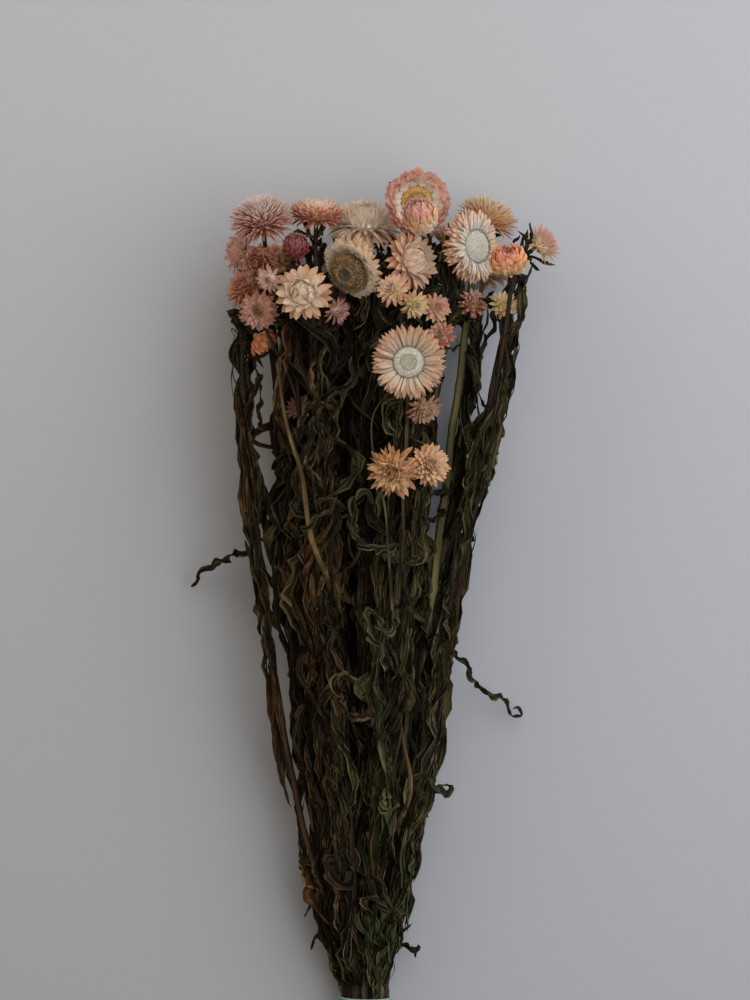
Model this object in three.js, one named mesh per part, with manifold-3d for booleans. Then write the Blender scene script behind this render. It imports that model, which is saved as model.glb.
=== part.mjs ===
// A bunch of dried strawflowers, tied near its cut ends and lying on its side.
// Millimetres, +Z up. The bunch lies along +Y with its heads at the +Y end, and rests on the plane z = 0.
import * as THREE from "three";
import { mergeVertices } from "three/addons/utils/BufferGeometryUtils.js";
import Module from "manifold-3d";

const wasm = await Module();
wasm.setup();

// ---- Driving dimensions ----
const STEM_RADIUS = 2.3; // of a main stem at the tie
const STEM_TOP_RADIUS = 1.25; // under its head
const SIDE_RADIUS = 1.1; // of a side branch
const STEM_PITCH = 5.6; // between stems that stand side by side in the tie
const TIE_X = -4; // the tie stands a little to the left of the heads' middle
const STEM_SIDES = 5;
const SIDE_STEM_SIDES = 4;
const TAIL_LENGTH = 84; // of bare stem below the tie
const TAIL_SPREAD = 1.28; // how much wider the cut ends stand than the stems in the tie
const TIE_WIDTH = 11; // along the stems
const TIE_WALL = 1.5;
const CLEARANCE = 0.3; // between pieces that rest against each other
const STEM_STATIONS = 7; // steps along a main stem's bend
const SIDE_STATIONS = 4; // and along a side branch
const NECK_LENGTH = 8.5; // straight stretch of main stem under a head
const SIDE_NECK_LENGTH = 6; // and of a side branch
const SIDE_START = 0.35; // share of its reach for which a side branch follows its stem
const SIDE_RISE = 0.3; // and for which it rises to its neck
const SIDE_LEAN = 0.1; // while it leans away from the way its head faces by this share
const NECK_BEND = 14; // how far a stem leans away from the way its head faces, below the neck
const FAN_LOWER = { spread: 0.46, rise: 0.3 }; // a stem leaves the tie towards this share of its way
const FAN_UPPER = { spread: 0.86, rise: 0.75 }; // and comes up to its head from this one
const FAN_REACH = 70; // from the middle to the outer heads
const FAN_SKEW = 0.2; // stems on the left spread sooner than those on the right, by this share either way
const LEAF_THICKNESS = 1.0;
const HEAD_SEED = 11;
const LEAF_SEED = 1311;
const LEAF_TRIES = 30; // places a leaf may try before it is left out
const LEAF_FROM = 0.2; // leaves stand on this share of a stem's length
const LEAF_TO = 0.96; // to here
const LEAF_LENGTH = [46, 90];
const LEAF_WIDTH = [9, 14];
const LEAF_REACH = [4.6, 12.6]; // how far a leaf stands off its stem
const LEAF_SWAY = 4.5; // to either side
const LEAF_TWIST = 1.1; // radians, either way
const LEAF_STATIONS = 5; // steps along a leaf
const LEAF_FLATNESS = 0.8; // how far leaves turn their faces up
const LEAF_FULL_SIZE_AT = 240; // height above the tie from which leaves have their full size
const OUTER_RING = 2 * STEM_PITCH; // from the middle stem to the outermost ones
const TIE_INNER = OUTER_RING + STEM_RADIUS + CLEARANCE;
const TIE_HEIGHT = TIE_INNER + TIE_WALL; // of the tie's axis above the surface
const TIE_SIDES = 16;

// Where leaves may stand, as rows of [height above the tie, left edge, right edge], and an opening in it.
const BUNCH = [
  [4, -27, 18],
  [40, -36, 27],
  [93, -45, 32],
  [132, -53, 40],
  [176, -60, 43],
  [209, -66, 48],
  [253, -75, 60],
  [297, -77, 69],
  [374, -78, 88],
  [434, -74, 94],
];
const OPENING = [
  [262, 41, 41.5],
  [290, 39, 50],
  [375, 44, 56],
  [390, 50, 54],
];
const vec = (x, y, z) => new THREE.Vector3(x, y, z);

// ---- Colours of the dried plant ----
const COLOURS = {
  lilac: { color: 0xc99a97, roughness: 0.55 },
  rose: { color: 0xb8695c, roughness: 0.55 },
  peach: { color: 0xdcae8c, roughness: 0.5 },
  cream: { color: 0xe0cda6, roughness: 0.5 },
  straw: { color: 0xc9b787, roughness: 0.6 },
  disc: { color: 0xa09c86, roughness: 0.9 },
  foliage: { color: 0x3d3a26, roughness: 0.85 },
  tie: { color: 0x7fae9d, roughness: 0.7 },
};
const materials = Object.fromEntries(
  Object.entries(COLOURS).map(([name, look]) => [
    name,
    new THREE.MeshStandardMaterial({ name, metalness: 0, ...look }),
  ]),
);

// Forms of a head, as shares of its radius. Each row of bracts leaves the head at its root [radius, height],
// ends at its tips [radius, height], and its notches lie at a share of the way out.
const FORMS = {
  open: {
    crown: 0.06,
    rows: [
      { root: [0.4, 0.12], tip: [0.96, 0.3], notch: 0.68 },
      { root: [0.4, 0.02], tip: [1.0, 0.06], notch: 0.7 },
      { root: [0.36, -0.08], tip: [0.88, -0.16], notch: 0.6 },
    ],
    base: [0.2, -0.3],
  },
  half: {
    crown: 0.44,
    rows: [
      { root: [0.24, 0.5], tip: [0.56, 0.7], notch: 0.4 },
      { root: [0.44, 0.24], tip: [0.88, 0.48], notch: 0.56 },
      { root: [0.4, 0.04], tip: [1.0, 0.06], notch: 0.56 },
    ],
    base: [0.2, -0.42],
  },
  small: {
    crown: 0.5,
    rows: [
      { root: [0.3, 0.52], tip: [0.7, 0.74], notch: 0.4 },
      { root: [0.44, 0.12], tip: [1.0, 0.24], notch: 0.52 },
    ],
    base: [0.2, -0.44],
  },
  burst: {
    crown: 0.5,
    rows: [
      { root: [0.24, 0.44], tip: [0.56, 0.9], notch: 0.5 },
      { root: [0.38, 0.22], tip: [0.92, 0.52], notch: 0.56 },
      { root: [0.38, 0.0], tip: [1.0, 0.0], notch: 0.56 },
    ],
    base: [0.2, -0.4],
  },
  flat: {
    crown: 0.42,
    rows: [
      { root: [0.46, 0.4], tip: [0.76, 0.56], notch: 0.4 },
      { root: [0.62, 0.16], tip: [1.0, 0.26], notch: 0.5 },
      { root: [0.4, -0.08], tip: [0.96, -0.4], notch: 0.56 },
    ],
    base: [0.2, -0.36],
  },
  dome: {
    crown: 0.66,
    rows: [
      { root: [0.3, 0.62], tip: [0.64, 0.56], notch: 0.4 },
      { root: [0.56, 0.26], tip: [0.94, 0.04], notch: 0.5 },
      { root: [0.42, -0.06], tip: [1.04, -0.62], notch: 0.6 },
    ],
    base: [0.2, -0.38],
  },
  bud: {
    crown: 1.0,
    rows: [
      { root: [0.36, 0.9], tip: [0.68, 0.8], notch: 0.3 },
      { root: [0.68, 0.5], tip: [0.98, 0.34], notch: 0.3 },
      { root: [0.78, 0.0], tip: [1.0, -0.22], notch: 0.3 },
    ],
    base: [0.28, -0.8],
  },
};

// Every head: its colour, form and radius, its middle [x, y, z], the way it faces, and the bracts in a row.
const grown = (colour, form, radius, at, faces, bracts) => ({ colour, form, radius, at, faces, bracts });
const HEADS = {
  head_lilac_left: grown("lilac", "burst", 17, [-61, 440, 64], [-0.1, 0.85, 0.5], 11),
  head_rose_flat: grown("rose", "flat", 15.5, [-31, 445, 50], [0.05, 1, 0.2], 11),
  head_lilac_side: grown("lilac", "half", 13, [-73, 425, 46], [-0.9, 0.35, 0.25], 8),
  head_rose_behind: grown("rose", "small", 13, [-62, 418, 80], [-0.4, -0.3, 0.8], 10),
  head_bud_dark: grown("rose", "bud", 9, [-42, 425, 86], [0.1, 0.3, 0.9], 6),
  head_cream_small: grown("cream", "small", 8, [-55.5, 407, 100], [-0.4, -0.3, 0.8], 6),
  head_rose_left: grown("rose", "small", 12, [-69, 403, 61], [-0.45, 0.45, 0.6], 9),
  head_lilac_star: grown("lilac", "small", 10.5, [-62, 390, 90], [-0.1, -0.2, 0.95], 8),
  head_rose_drooping: grown("rose", "small", 10.5, [-62, 375, 62], [0.7, -0.6, 0.25], 8),
  head_cream_front: grown("cream", "half", 15.5, [-37, 399, 104], [-0.25, 0.1, 0.95], 11),
  head_lilac_tucked: grown("lilac", "small", 8, [-20, 390, 86], [0.6, -0.3, 0.6], 6),
  head_straw_dome: grown("straw", "dome", 17, [-4, 440, 40], [0.05, 1, 0.25], 11),
  head_cream_seeded: grown("cream", "open", 19.5, [-11, 413, 84], [-0.5, -0.42, 0.76], 14),
  head_rose_ring: grown("peach", "open", 19.3, [25, 452, 57], [0.05, -0.15, 0.98], 14),
  head_bud_rose: grown("lilac", "bud", 12.5, [27, 441, 89], [-0.2, 0.5, 0.85], 9),
  head_peach_middle: grown("peach", "half", 16.5, [21, 418, 76], [0.7, 0.15, 0.65], 10),
  head_cream_star: grown("cream", "small", 9.5, [12, 400, 106], [-0.35, 0.35, 0.85], 8),
  head_straw_small: grown("straw", "small", 8, [23, 393, 100], [0.3, -0.3, 0.9], 6),
  head_cream_wide: grown("cream", "open", 22.5, [57, 426, 74], [0.68, 0.05, 0.72], 15),
  head_peach_high: grown("peach", "burst", 17, [64, 442, 38], [0.35, 0.85, 0.1], 10),
  head_peach_cup: grown("peach", "half", 13.5, [75, 414, 98], [-0.1, 0.75, 0.6], 9),
  head_lilac_right: grown("lilac", "small", 11.5, [94, 428, 50], [0.8, 0.45, 0.3], 9),
  head_peach_open: grown("peach", "open", 20.5, [20, 361, 110], [-0.05, -0.03, 1], 16),
  head_peach_hanging: grown("peach", "small", 10, [28, 337, 93], [0.25, -0.7, 0.5], 8),
  head_tan_low: grown("peach", "half", 13, [12, 302, 100], [-0.5, -0.2, 0.8], 8),
  head_peach_low: grown("peach", "small", 11.5, [31, 305, 92], [0.75, 0.0, 0.55], 8),
  head_lilac_inner: grown("lilac", "small", 8.5, [35, 392, 70], [0.3, 0.2, 0.8], 6),
  head_rose_inner: grown("rose", "small", 8.5, [38, 376, 74], [-0.3, 0.3, 0.8], 6),
  head_rose_right: grown("rose", "small", 8.5, [56, 395, 52], [0.2, 0.4, 0.7], 6),
  head_straw_right: grown("straw", "small", 8, [73, 394, 62], [0.1, 0.3, 0.7], 6),
  head_lilac_hidden: grown("lilac", "small", 8.5, [-40.5, 337, 38], [-0.2, 0.5, 0.6], 7),
  head_lilac_back: grown("lilac", "small", 11, [42, 432, 38], [0.3, 0.8, -0.1], 8),
  head_rose_under: grown("rose", "small", 14, [-52, 420, 13], [-0.2, 0.8, -0.5], 8),
  head_cream_under: grown("cream", "small", 15, [-19, 412, 13], [0.1, 0.75, -0.6], 8),
  head_peach_under: grown("peach", "small", 13.5, [64, 414, 13], [0.2, 0.8, -0.5], 8),
};

// The heads that lie lowest rest on the surface.
const RESTING = ["head_rose_under", "head_cream_under", "head_peach_under"];

// Heads whose bare middle shows, with the disc's radius as a share of the head's and its height likewise.
const DISCS = {
  disc_cream_seeded: { head: "head_cream_seeded", radius: 0.5, height: 0.34 },
  disc_rose_ring: { head: "head_rose_ring", radius: 0.46, height: 0.12 },
  disc_cream_wide: { head: "head_cream_wide", radius: 0.42, height: 0.12 },
  disc_peach_open: { head: "head_peach_open", radius: 0.42, height: 0.12 },
};

// Every leafy stem: its place among the stems in the tie (column and row, in pitches), the head on its tip,
// side branches as [head, share of the stem's length where it leaves], and its number of leaves.
const ROW_RISE = Math.sqrt(3) / 2;
const STEMS = {
  stem_cream_front: {
    slot: [-1, 2],
    tip: "head_cream_front",
    sides: [["head_lilac_tucked", 0.8]],
    leaves: 11,
  },
  stem_peach_open: {
    slot: [0, 2],
    tip: "head_peach_open",
    sides: [["head_peach_hanging", 0.62], ["head_tan_low", 0.5], ["head_peach_low", 0.56]],
    leaves: 6,
  },
  stem_peach_cup: { slot: [1, 2], tip: "head_peach_cup", sides: [["head_straw_right", 0.82]], leaves: 10 },
  stem_bud_dark: {
    slot: [-1.5, 1],
    tip: "head_bud_dark",
    sides: [["head_cream_small", 0.82], ["head_lilac_star", 0.74]],
    leaves: 9,
  },
  stem_cream_seeded: { slot: [-0.5, 1], tip: "head_cream_seeded", sides: [], leaves: 9 },
  stem_peach_middle: {
    slot: [0.5, 1],
    tip: "head_peach_middle",
    sides: [["head_cream_star", 0.84], ["head_straw_small", 0.8]],
    leaves: 9,
  },
  stem_cream_wide: { slot: [1.5, 1], tip: "head_cream_wide", sides: [["head_rose_right", 0.86]], leaves: 8 },
  stem_rose_drooping: { slot: [-2, 0], tip: "head_rose_drooping", sides: [], leaves: 9 },
  stem_lilac_left: { slot: [-1, 0], tip: "head_lilac_left", sides: [["head_rose_behind", 0.84]], leaves: 9 },
  stem_rose_ring: { slot: [0, 0], tip: "head_rose_ring", sides: [["head_bud_rose", 0.86]], leaves: 8 },
  stem_rose_inner: { slot: [1, 0], tip: "head_lilac_inner", sides: [["head_rose_inner", 0.8]], leaves: 8 },
  stem_lilac_right: { slot: [2, 0], tip: "head_lilac_right", sides: [], leaves: 11 },
  stem_lilac_side: {
    slot: [-1.5, -1],
    tip: "head_lilac_side",
    sides: [["head_rose_left", 0.86], ["head_lilac_hidden", 0.66]],
    leaves: 9,
  },
  stem_rose_flat: { slot: [-0.5, -1], tip: "head_rose_flat", sides: [], leaves: 8 },
  stem_straw_dome: { slot: [0.5, -1], tip: "head_straw_dome", sides: [], leaves: 8 },
  stem_peach_high: { slot: [1.5, -1], tip: "head_peach_high", sides: [["head_lilac_back", 0.82]], leaves: 9 },
  stem_rose_under: { slot: [-1, -2], tip: "head_rose_under", sides: [], leaves: 8 },
  stem_cream_under: { slot: [0, -2], tip: "head_cream_under", sides: [], leaves: 9 },
  stem_peach_under: { slot: [1, -2], tip: "head_peach_under", sides: [], leaves: 8 },
};

// Leaves that stand out from the bunch: the share of its stem's length where each is rooted, its width, and
// the steps that it takes from there to its tip.
const STRAY_LEAVES = {
  stem_rose_drooping: [
    { share: 0.64, width: 7, steps: [[-8, -6, 2], [-10, -6, 1], [-7, -3, 0], [-8, -7, -2]] },
  ],
  stem_lilac_right: [{ share: 0.52, width: 6, steps: [[8, -11, 4], [8, -11, 3], [14, -8, 2], [6, -11, 0]] }],
  stem_peach_cup: [{ share: 0.39, width: 7, steps: [[7, 2, 4], [8, -2, 2], [7, 3, 0], [3, 6, 0]] }],
};

// ---- Helpers ----

// A repeatable stream of numbers from 0 to 1.
function randomFrom(seed) {
  let state = seed >>> 0;
  return () => {
    state = (state + 0x6d2b79f5) >>> 0;
    let t = Math.imul(state ^ (state >>> 15), 1 | state);
    t = (t + Math.imul(t ^ (t >>> 7), 61 | t)) ^ t;
    return ((t ^ (t >>> 14)) >>> 0) / 4294967296;
  };
}

// A closed body carried through rings of equally many points, with a fan to a point at each end.
function loft(rings, startPoint, endPoint) {
  const count = rings[0].length;
  const points = [...rings.flat(), startPoint, endPoint];
  const start = points.length - 2;
  const end = points.length - 1;
  const faces = [];
  for (let i = 0; i < count; i++) {
    const next = (i + 1) % count;
    faces.push(start, next, i);
    faces.push(end, (rings.length - 1) * count + i, (rings.length - 1) * count + next);
    for (let r = 0; r + 1 < rings.length; r++) {
      const a = r * count + i;
      const b = r * count + next;
      faces.push(a, b, b + count, a, b + count, a + count);
    }
  }
  return new THREE.BufferGeometry().setFromPoints(points).setIndex(faces);
}

// A geometry as a manifold-3d solid that faces outwards.
function solidOf(geometry) {
  const merged = mergeVertices(geometry, 1e-4);
  const build = (triVerts) =>
    new wasm.Manifold(
      new wasm.Mesh({ numProp: 3, vertProperties: merged.attributes.position.array, triVerts }),
    );
  const solid = build(new Uint32Array(merged.index.array));
  return solid.volume() > 0 ? solid : build(new Uint32Array(merged.index.array).reverse());
}

function geometryOf(solid) {
  const { numProp, numVert, vertProperties, triVerts } = solid.getMesh();
  const positions = new Float32Array(numVert * 3);
  for (let i = 0; i < numVert; i++) {
    positions.set(vertProperties.subarray(i * numProp, i * numProp + 3), i * 3);
  }
  return new THREE.BufferGeometry()
    .setAttribute("position", new THREE.BufferAttribute(positions, 3))
    .setIndex(new THREE.BufferAttribute(triVerts, 1));
}

// A tube through points, its section's radius given at each, turned as little as possible from ring to ring.
function sweep(points, radii, sides) {
  const tangents = points.map((_, i) =>
    points[Math.min(i + 1, points.length - 1)].clone().sub(points[Math.max(i - 1, 0)]).normalize(),
  );
  let side = vec(1, 0, 0);
  const rings = points.map((point, i) => {
    side = side.clone().addScaledVector(tangents[i], -side.dot(tangents[i])).normalize();
    const other = tangents[i].clone().cross(side);
    return Array.from({ length: sides }, (_, k) => {
      const angle = (2 * Math.PI * k) / sides;
      return point
        .clone()
        .addScaledVector(side, radii[i] * Math.cos(angle))
        .addScaledVector(other, radii[i] * Math.sin(angle));
    });
  });
  return solidOf(loft(rings, points[0], points[points.length - 1]));
}

// ---- Heads ----

const facingOf = (head) => vec(...head.faces).normalize();

// Turns a head's own frame, whose +Z is the way it faces, to its place in the bunch.
function placeHead(geometry, head) {
  const turn = new THREE.Quaternion().setFromUnitVectors(vec(0, 0, 1), facingOf(head));
  return geometry.applyQuaternion(turn).translate(...head.at);
}

// A head is one closed surface: from the middle of its crown it runs out and back along each row of bracts,
// down to its base. Tips stand between the notches of the row before.
function headSolid(head, seed) {
  const { crown, rows, base } = FORMS[head.form];
  const { radius, bracts } = head;
  const random = randomFrom(seed);
  const around = 2 * bracts;
  const ring = (at) =>
    Array.from({ length: around }, (_, i) => {
      const [r, h] = at(i);
      const angle = (2 * Math.PI * i) / around;
      return vec(radius * r * Math.cos(angle), radius * r * Math.sin(angle), radius * h);
    });
  const rings = rows.flatMap(({ root, tip, notch }, row) => [
    ring(() => root),
    ring((i) => {
      const isTip = (i + row) % 2 === 0;
      const out = isTip ? 1 - 0.1 * random() : notch;
      const lift = isTip ? 0.06 * (random() - 0.5) : 0;
      return [root[0] + (tip[0] - root[0]) * out, root[1] + (tip[1] - root[1]) * out - 0.03 + lift];
    }),
  ]);
  rings.push(ring(() => base));
  const body = loft(rings, vec(0, 0, radius * crown), vec(0, 0, radius * base[1]));
  return solidOf(placeHead(body, head));
}

// The flat underside of a head, where its stem ends.
const seatOf = (head) =>
  vec(...head.at).addScaledVector(
    facingOf(head),
    head.radius * FORMS[head.form].base[1] - CLEARANCE,
  );

// A low domed disc that sits on an open head's crown.
function discSolid({ head: name, radius, height }) {
  const head = HEADS[name];
  const rim = head.radius * (FORMS.open.rows[0].root[0] - 0.04);
  const floor = head.radius * FORMS.open.rows[0].root[1] + CLEARANCE;
  const reach = Math.max(rim, head.radius * radius);
  const top = floor + head.radius * height;
  const profile = [
    new THREE.Vector2(0, floor),
    new THREE.Vector2(rim, floor),
    new THREE.Vector2(reach * 0.96, (floor + top) / 2),
    new THREE.Vector2(reach * 0.6, top),
    new THREE.Vector2(0, top - 0.2 * head.radius * height),
  ];
  const lathe = new THREE.LatheGeometry(profile, 14);
  lathe.deleteAttribute("normal");
  lathe.deleteAttribute("uv");
  lathe.rotateX(Math.PI / 2);
  return solidOf(placeHead(lathe, head));
}

// ---- Stems ----

const slotPoint = ([column, row], y, spread = 1) =>
  vec(
    TIE_X + column * STEM_PITCH * spread,
    y,
    TIE_HEIGHT + row * ROW_RISE * STEM_PITCH * (spread > 1 ? (1 + spread) / 2 : 1),
  );

// A main stem runs straight through the tie, then fans out in one bend to the neck of its head.
function stemPath(stem) {
  const head = HEADS[stem.tip];
  const seat = seatOf(head);
  const neck = seat.clone().addScaledVector(facingOf(head), -NECK_LENGTH);
  const start = slotPoint(stem.slot, TIE_WIDTH);
  const skew = FAN_SKEW * THREE.MathUtils.clamp(neck.x / FAN_REACH, -1, 1);
  const between = ({ spread, rise }) =>
    start.clone().lerp(neck, spread - skew * (1 - rise)).setY(THREE.MathUtils.lerp(start.y, neck.y, rise));
  const upper = between(FAN_UPPER).addScaledVector(facingOf(head), -NECK_BEND);
  const bend = new THREE.CubicBezierCurve3(start, between(FAN_LOWER), upper, neck);
  return [
    slotPoint(stem.slot, -TIE_WIDTH - TAIL_LENGTH, TAIL_SPREAD),
    slotPoint(stem.slot, -TIE_WIDTH),
    ...bend.getPoints(STEM_STATIONS),
    seat,
  ];
}

// The point at a share of a path's steps.
function pointAt(path, share) {
  const at = (path.length - 1) * share;
  const index = Math.min(Math.floor(at), path.length - 2);
  return path[index].clone().lerp(path[index + 1], at - index);
}

// A side branch leaves its stem at a share of its length, along it, and comes up to its own head.
function sidePath(main, share, head) {
  const seat = seatOf(head);
  const neck = seat.clone().addScaledVector(facingOf(head), -SIDE_NECK_LENGTH);
  const root = pointAt(main, share);
  const reach = neck.distanceTo(root);
  const along = pointAt(main, share + 0.04).sub(root).normalize();
  const curve = new THREE.CubicBezierCurve3(
    root,
    root.clone().addScaledVector(along, SIDE_START * reach),
    neck.clone().add(vec(0, -SIDE_RISE * reach, 0)).addScaledVector(facingOf(head), -SIDE_LEAN * reach),
    neck,
  );
  return [...curve.getPoints(SIDE_STATIONS), seat];
}

function stemSolids(name) {
  const stem = STEMS[name];
  const main = stemPath(stem);
  const taper = main.map((_, i) =>
    THREE.MathUtils.lerp(STEM_RADIUS, STEM_TOP_RADIUS, Math.max(0, i - 2) / (main.length - 3)),
  );
  const solids = [sweep(main, taper, STEM_SIDES)];
  for (const [headName, share] of stem.sides) {
    const path = sidePath(main, share, HEADS[headName]);
    solids.push(sweep(path, path.map(() => SIDE_RADIUS), SIDE_STEM_SIDES));
  }
  return { main, solids };
}

// ---- Leaves ----

// A dried leaf: a narrow blade with a keel along its rib, pointed at both ends, carried along its path while
// it twists, with waved edges. Extra makes it fatter all round.
function leafSolid({ path, width, twist, turn }, extra = 0) {
  const last = path.length - 1;
  const rings = path.slice(1, -1).map((point, k) => {
    const share = (k + 1) / last;
    const along = path[k + 2].clone().sub(path[k]).normalize();
    const across = along.clone().cross(turn).normalize();
    across.applyAxisAngle(along, twist * (share - 0.4));
    const face = along.clone().cross(across);
    const wave = k % 2 ? 1.18 : 0.86;
    const half = (width / 2) * wave * Math.sin(Math.PI * share ** 0.8) ** 0.5 + extra;
    const lift = LEAF_THICKNESS * (k % 2 ? 0.75 : -0.05);
    return [
      point.clone().addScaledVector(across, half).addScaledVector(face, lift + extra),
      point.clone().addScaledVector(across, -half).addScaledVector(face, 0.5 * lift + extra),
      point.clone().addScaledVector(face, -LEAF_THICKNESS - extra),
    ];
  });
  return solidOf(loft(rings, path[0], path[last]));
}

// One try at a leaf: it leaves the stem at a slant, then runs along it with a sway to one side. Leaves are
// smaller and lie closer where the stems stand close together.
function tryLeaf(main, share, random) {
  const between = ([low, high]) => THREE.MathUtils.lerp(low, high, random());
  const eitherWay = (most) => most * (2 * random() - 1);
  const root = pointAt(main, share);
  const along = pointAt(main, share + 0.03).sub(root).normalize();
  const outwards = vec(root.x, 0, 1.6 * (root.z - TIE_HEIGHT - 0.1 * root.y)).normalize();
  const away = outwards.applyAxisAngle(along, eitherWay(2));
  away.addScaledVector(along, -away.dot(along)).normalize();
  const sideways = along.clone().cross(away);
  const room = THREE.MathUtils.clamp(0.25 + root.y / LEAF_FULL_SIZE_AT, 0.3, 1);
  const heading = random() < 0.7 ? 1 : -1;
  const length = heading * between(LEAF_LENGTH) * (0.5 + 0.5 * room);
  const reach = between(LEAF_REACH) * (0.4 + 0.6 * room);
  const sway = eitherWay(LEAF_SWAY) * room;
  const width = between(LEAF_WIDTH) * (0.35 + 0.65 * room);
  const path = Array.from({ length: LEAF_STATIONS + 1 }, (_, i) => {
    const u = i / LEAF_STATIONS;
    return root
      .clone()
      .addScaledVector(away, reach * Math.sin(0.78 * Math.PI * u) ** 0.8)
      .addScaledVector(along, length * u)
      .addScaledVector(sideways, sway * Math.sin(1.6 * Math.PI * u));
  });
  const upwards = vec(0, 0, Math.sign(away.z) * LEAF_FLATNESS);
  return { path, width, twist: eitherWay(LEAF_TWIST), turn: away.clone().add(upwards) };
}

// Whether a point lies in a shape of [y, left, right] rows, from one row to the next.
function inside(rows, x, y) {
  const above = rows.findIndex((row) => row[0] > y);
  if (above < 1) return false;
  const [y0, left0, right0] = rows[above - 1];
  const [y1, left1, right1] = rows[above];
  const share = (y - y0) / (y1 - y0);
  return x > THREE.MathUtils.lerp(left0, left1, share) && x < THREE.MathUtils.lerp(right0, right1, share);
}

// Whether a leaf lies over the surface, within the bunch and out of the opening in it.
const fits = ({ path, width }, solid) =>
  solid.boundingBox().min[2] > CLEARANCE &&
  path.every(({ x, y }, i) => {
    const half = i === 0 || i === path.length - 1 ? 0 : 0.4 * width;
    return [x - half, x + half].every((edge) => inside(BUNCH, edge, y) && !inside(OPENING, edge, y));
  });

const meets = (solid, others) => others.some((other) => !solid.intersect(other).isEmpty());

// The leaves of one stem. A leaf that would touch another piece tries another place, or is left out.
function growLeaves(name, main, others) {
  const random = randomFrom(Object.keys(STEMS).indexOf(name) + LEAF_SEED);
  const leaves = (STRAY_LEAVES[name] ?? []).map(({ share, width, steps }) => {
    const path = [pointAt(main, share)];
    for (const step of steps) path.push(path[path.length - 1].clone().add(vec(...step)));
    return leafSolid({ path, width, twist: 2 * LEAF_TWIST, turn: vec(0, 0.3, 1) });
  });
  const spacing = (LEAF_TO - LEAF_FROM) / STEMS[name].leaves;
  for (let k = 0; k < STEMS[name].leaves; k++) {
    for (let attempt = 0; attempt < LEAF_TRIES; attempt++) {
      const leaf = tryLeaf(main, LEAF_FROM + spacing * (k + random()), random);
      const fat = leafSolid(leaf, CLEARANCE);
      if (!fits(leaf, fat) || meets(fat, others) || meets(fat, leaves)) continue;
      leaves.push(leafSolid(leaf));
      break;
    }
  }
  return leaves;
}

// ---- The tie ----

// A flat-sided band round the stems that stands on one of its sides.
function tieSolid() {
  const halfSide = Math.PI / TIE_SIDES;
  const around = (path, flats) =>
    path.absarc(0, 0, flats / Math.cos(halfSide), halfSide, 2 * Math.PI + halfSide);
  const ring = around(new THREE.Shape(), TIE_HEIGHT);
  ring.holes.push(around(new THREE.Path(), TIE_INNER));
  const band = new THREE.ExtrudeGeometry(ring, {
    depth: TIE_WIDTH,
    bevelEnabled: false,
    curveSegments: TIE_SIDES / 2,
  });
  band.deleteAttribute("normal");
  band.deleteAttribute("uv");
  band.rotateX(Math.PI / 2).translate(TIE_X, TIE_WIDTH / 2, TIE_HEIGHT);
  return solidOf(mergeVertices(band, 1e-3));
}

// ---- The bunch ----

const headSeed = (name) => Object.keys(HEADS).indexOf(name) + HEAD_SEED;
for (const name of RESTING) {
  HEADS[name].at[2] -= headSolid(HEADS[name], headSeed(name)).boundingBox().min[2];
}

const bunch = new THREE.Group();
function addPiece(name, solid, look) {
  const mesh = new THREE.Mesh(geometryOf(solid), materials[look]);
  mesh.name = name;
  bunch.add(mesh);
}

const firm = [];
for (const [name, form] of Object.entries(HEADS)) {
  const solid = headSolid(form, headSeed(name));
  firm.push(solid);
  addPiece(name, solid, form.colour);
}
for (const [name, disc] of Object.entries(DISCS)) {
  const solid = discSolid(disc);
  firm.push(solid);
  addPiece(name, solid, "disc");
}
const tie = tieSolid();
firm.push(tie);
addPiece("tie_band", tie, "tie");

const stems = Object.keys(STEMS).map((name) => ({ name, ...stemSolids(name) }));
for (const stem of stems) {
  const others = stems.filter((other) => other !== stem).flatMap(({ solids }) => solids);
  stem.solids.push(...growLeaves(stem.name, stem.main, [...firm, ...others]));
}
for (const { name, solids } of stems) addPiece(name, wasm.Manifold.union(solids), "foliage");

// The origin lies on the surface, under the middle of the bunch.
const box = new THREE.Box3().setFromObject(bunch);
const middle = box.getCenter(vec(0, 0, 0));
bunch.position.set(-middle.x, -middle.y, -box.min.z);

export default bunch;
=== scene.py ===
"""A bunch of dried strawflowers, tied near its cut ends and lying on its side.

Lengths are in millimetres of the bunch until a mesh is made: x across it, y along it from the tie to the
heads, z up from the surface that it lies on. Every head, disc, leafy stem and the tie is one closed mesh.
"""

import math

import bpy
import numpy as np
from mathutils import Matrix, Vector


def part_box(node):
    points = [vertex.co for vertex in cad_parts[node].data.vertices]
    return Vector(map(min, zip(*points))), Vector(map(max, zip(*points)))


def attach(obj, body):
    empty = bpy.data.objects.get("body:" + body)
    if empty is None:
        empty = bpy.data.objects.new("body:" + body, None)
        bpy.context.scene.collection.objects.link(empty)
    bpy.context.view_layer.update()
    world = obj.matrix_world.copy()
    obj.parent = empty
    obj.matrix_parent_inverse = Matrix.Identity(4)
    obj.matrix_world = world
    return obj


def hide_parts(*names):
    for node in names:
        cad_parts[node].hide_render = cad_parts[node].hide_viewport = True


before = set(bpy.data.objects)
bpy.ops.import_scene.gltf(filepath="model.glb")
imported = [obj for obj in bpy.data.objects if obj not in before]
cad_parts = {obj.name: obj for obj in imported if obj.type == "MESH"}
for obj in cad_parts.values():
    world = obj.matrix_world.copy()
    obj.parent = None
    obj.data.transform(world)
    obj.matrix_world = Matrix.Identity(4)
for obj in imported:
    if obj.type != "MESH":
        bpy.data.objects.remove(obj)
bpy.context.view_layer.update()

bl_info = {
    "name": "Dried Strawflower Bunch",
    "version": (1, 0, 0),
    "blender": (4, 5, 0),
    "location": "3D View > Sidebar > Strawflowers",
    "description": "Dresses a bunch of dried strawflowers: heads, discs, leafy stems and the tie",
    "category": "Add Mesh",
}

MM = 1000

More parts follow.
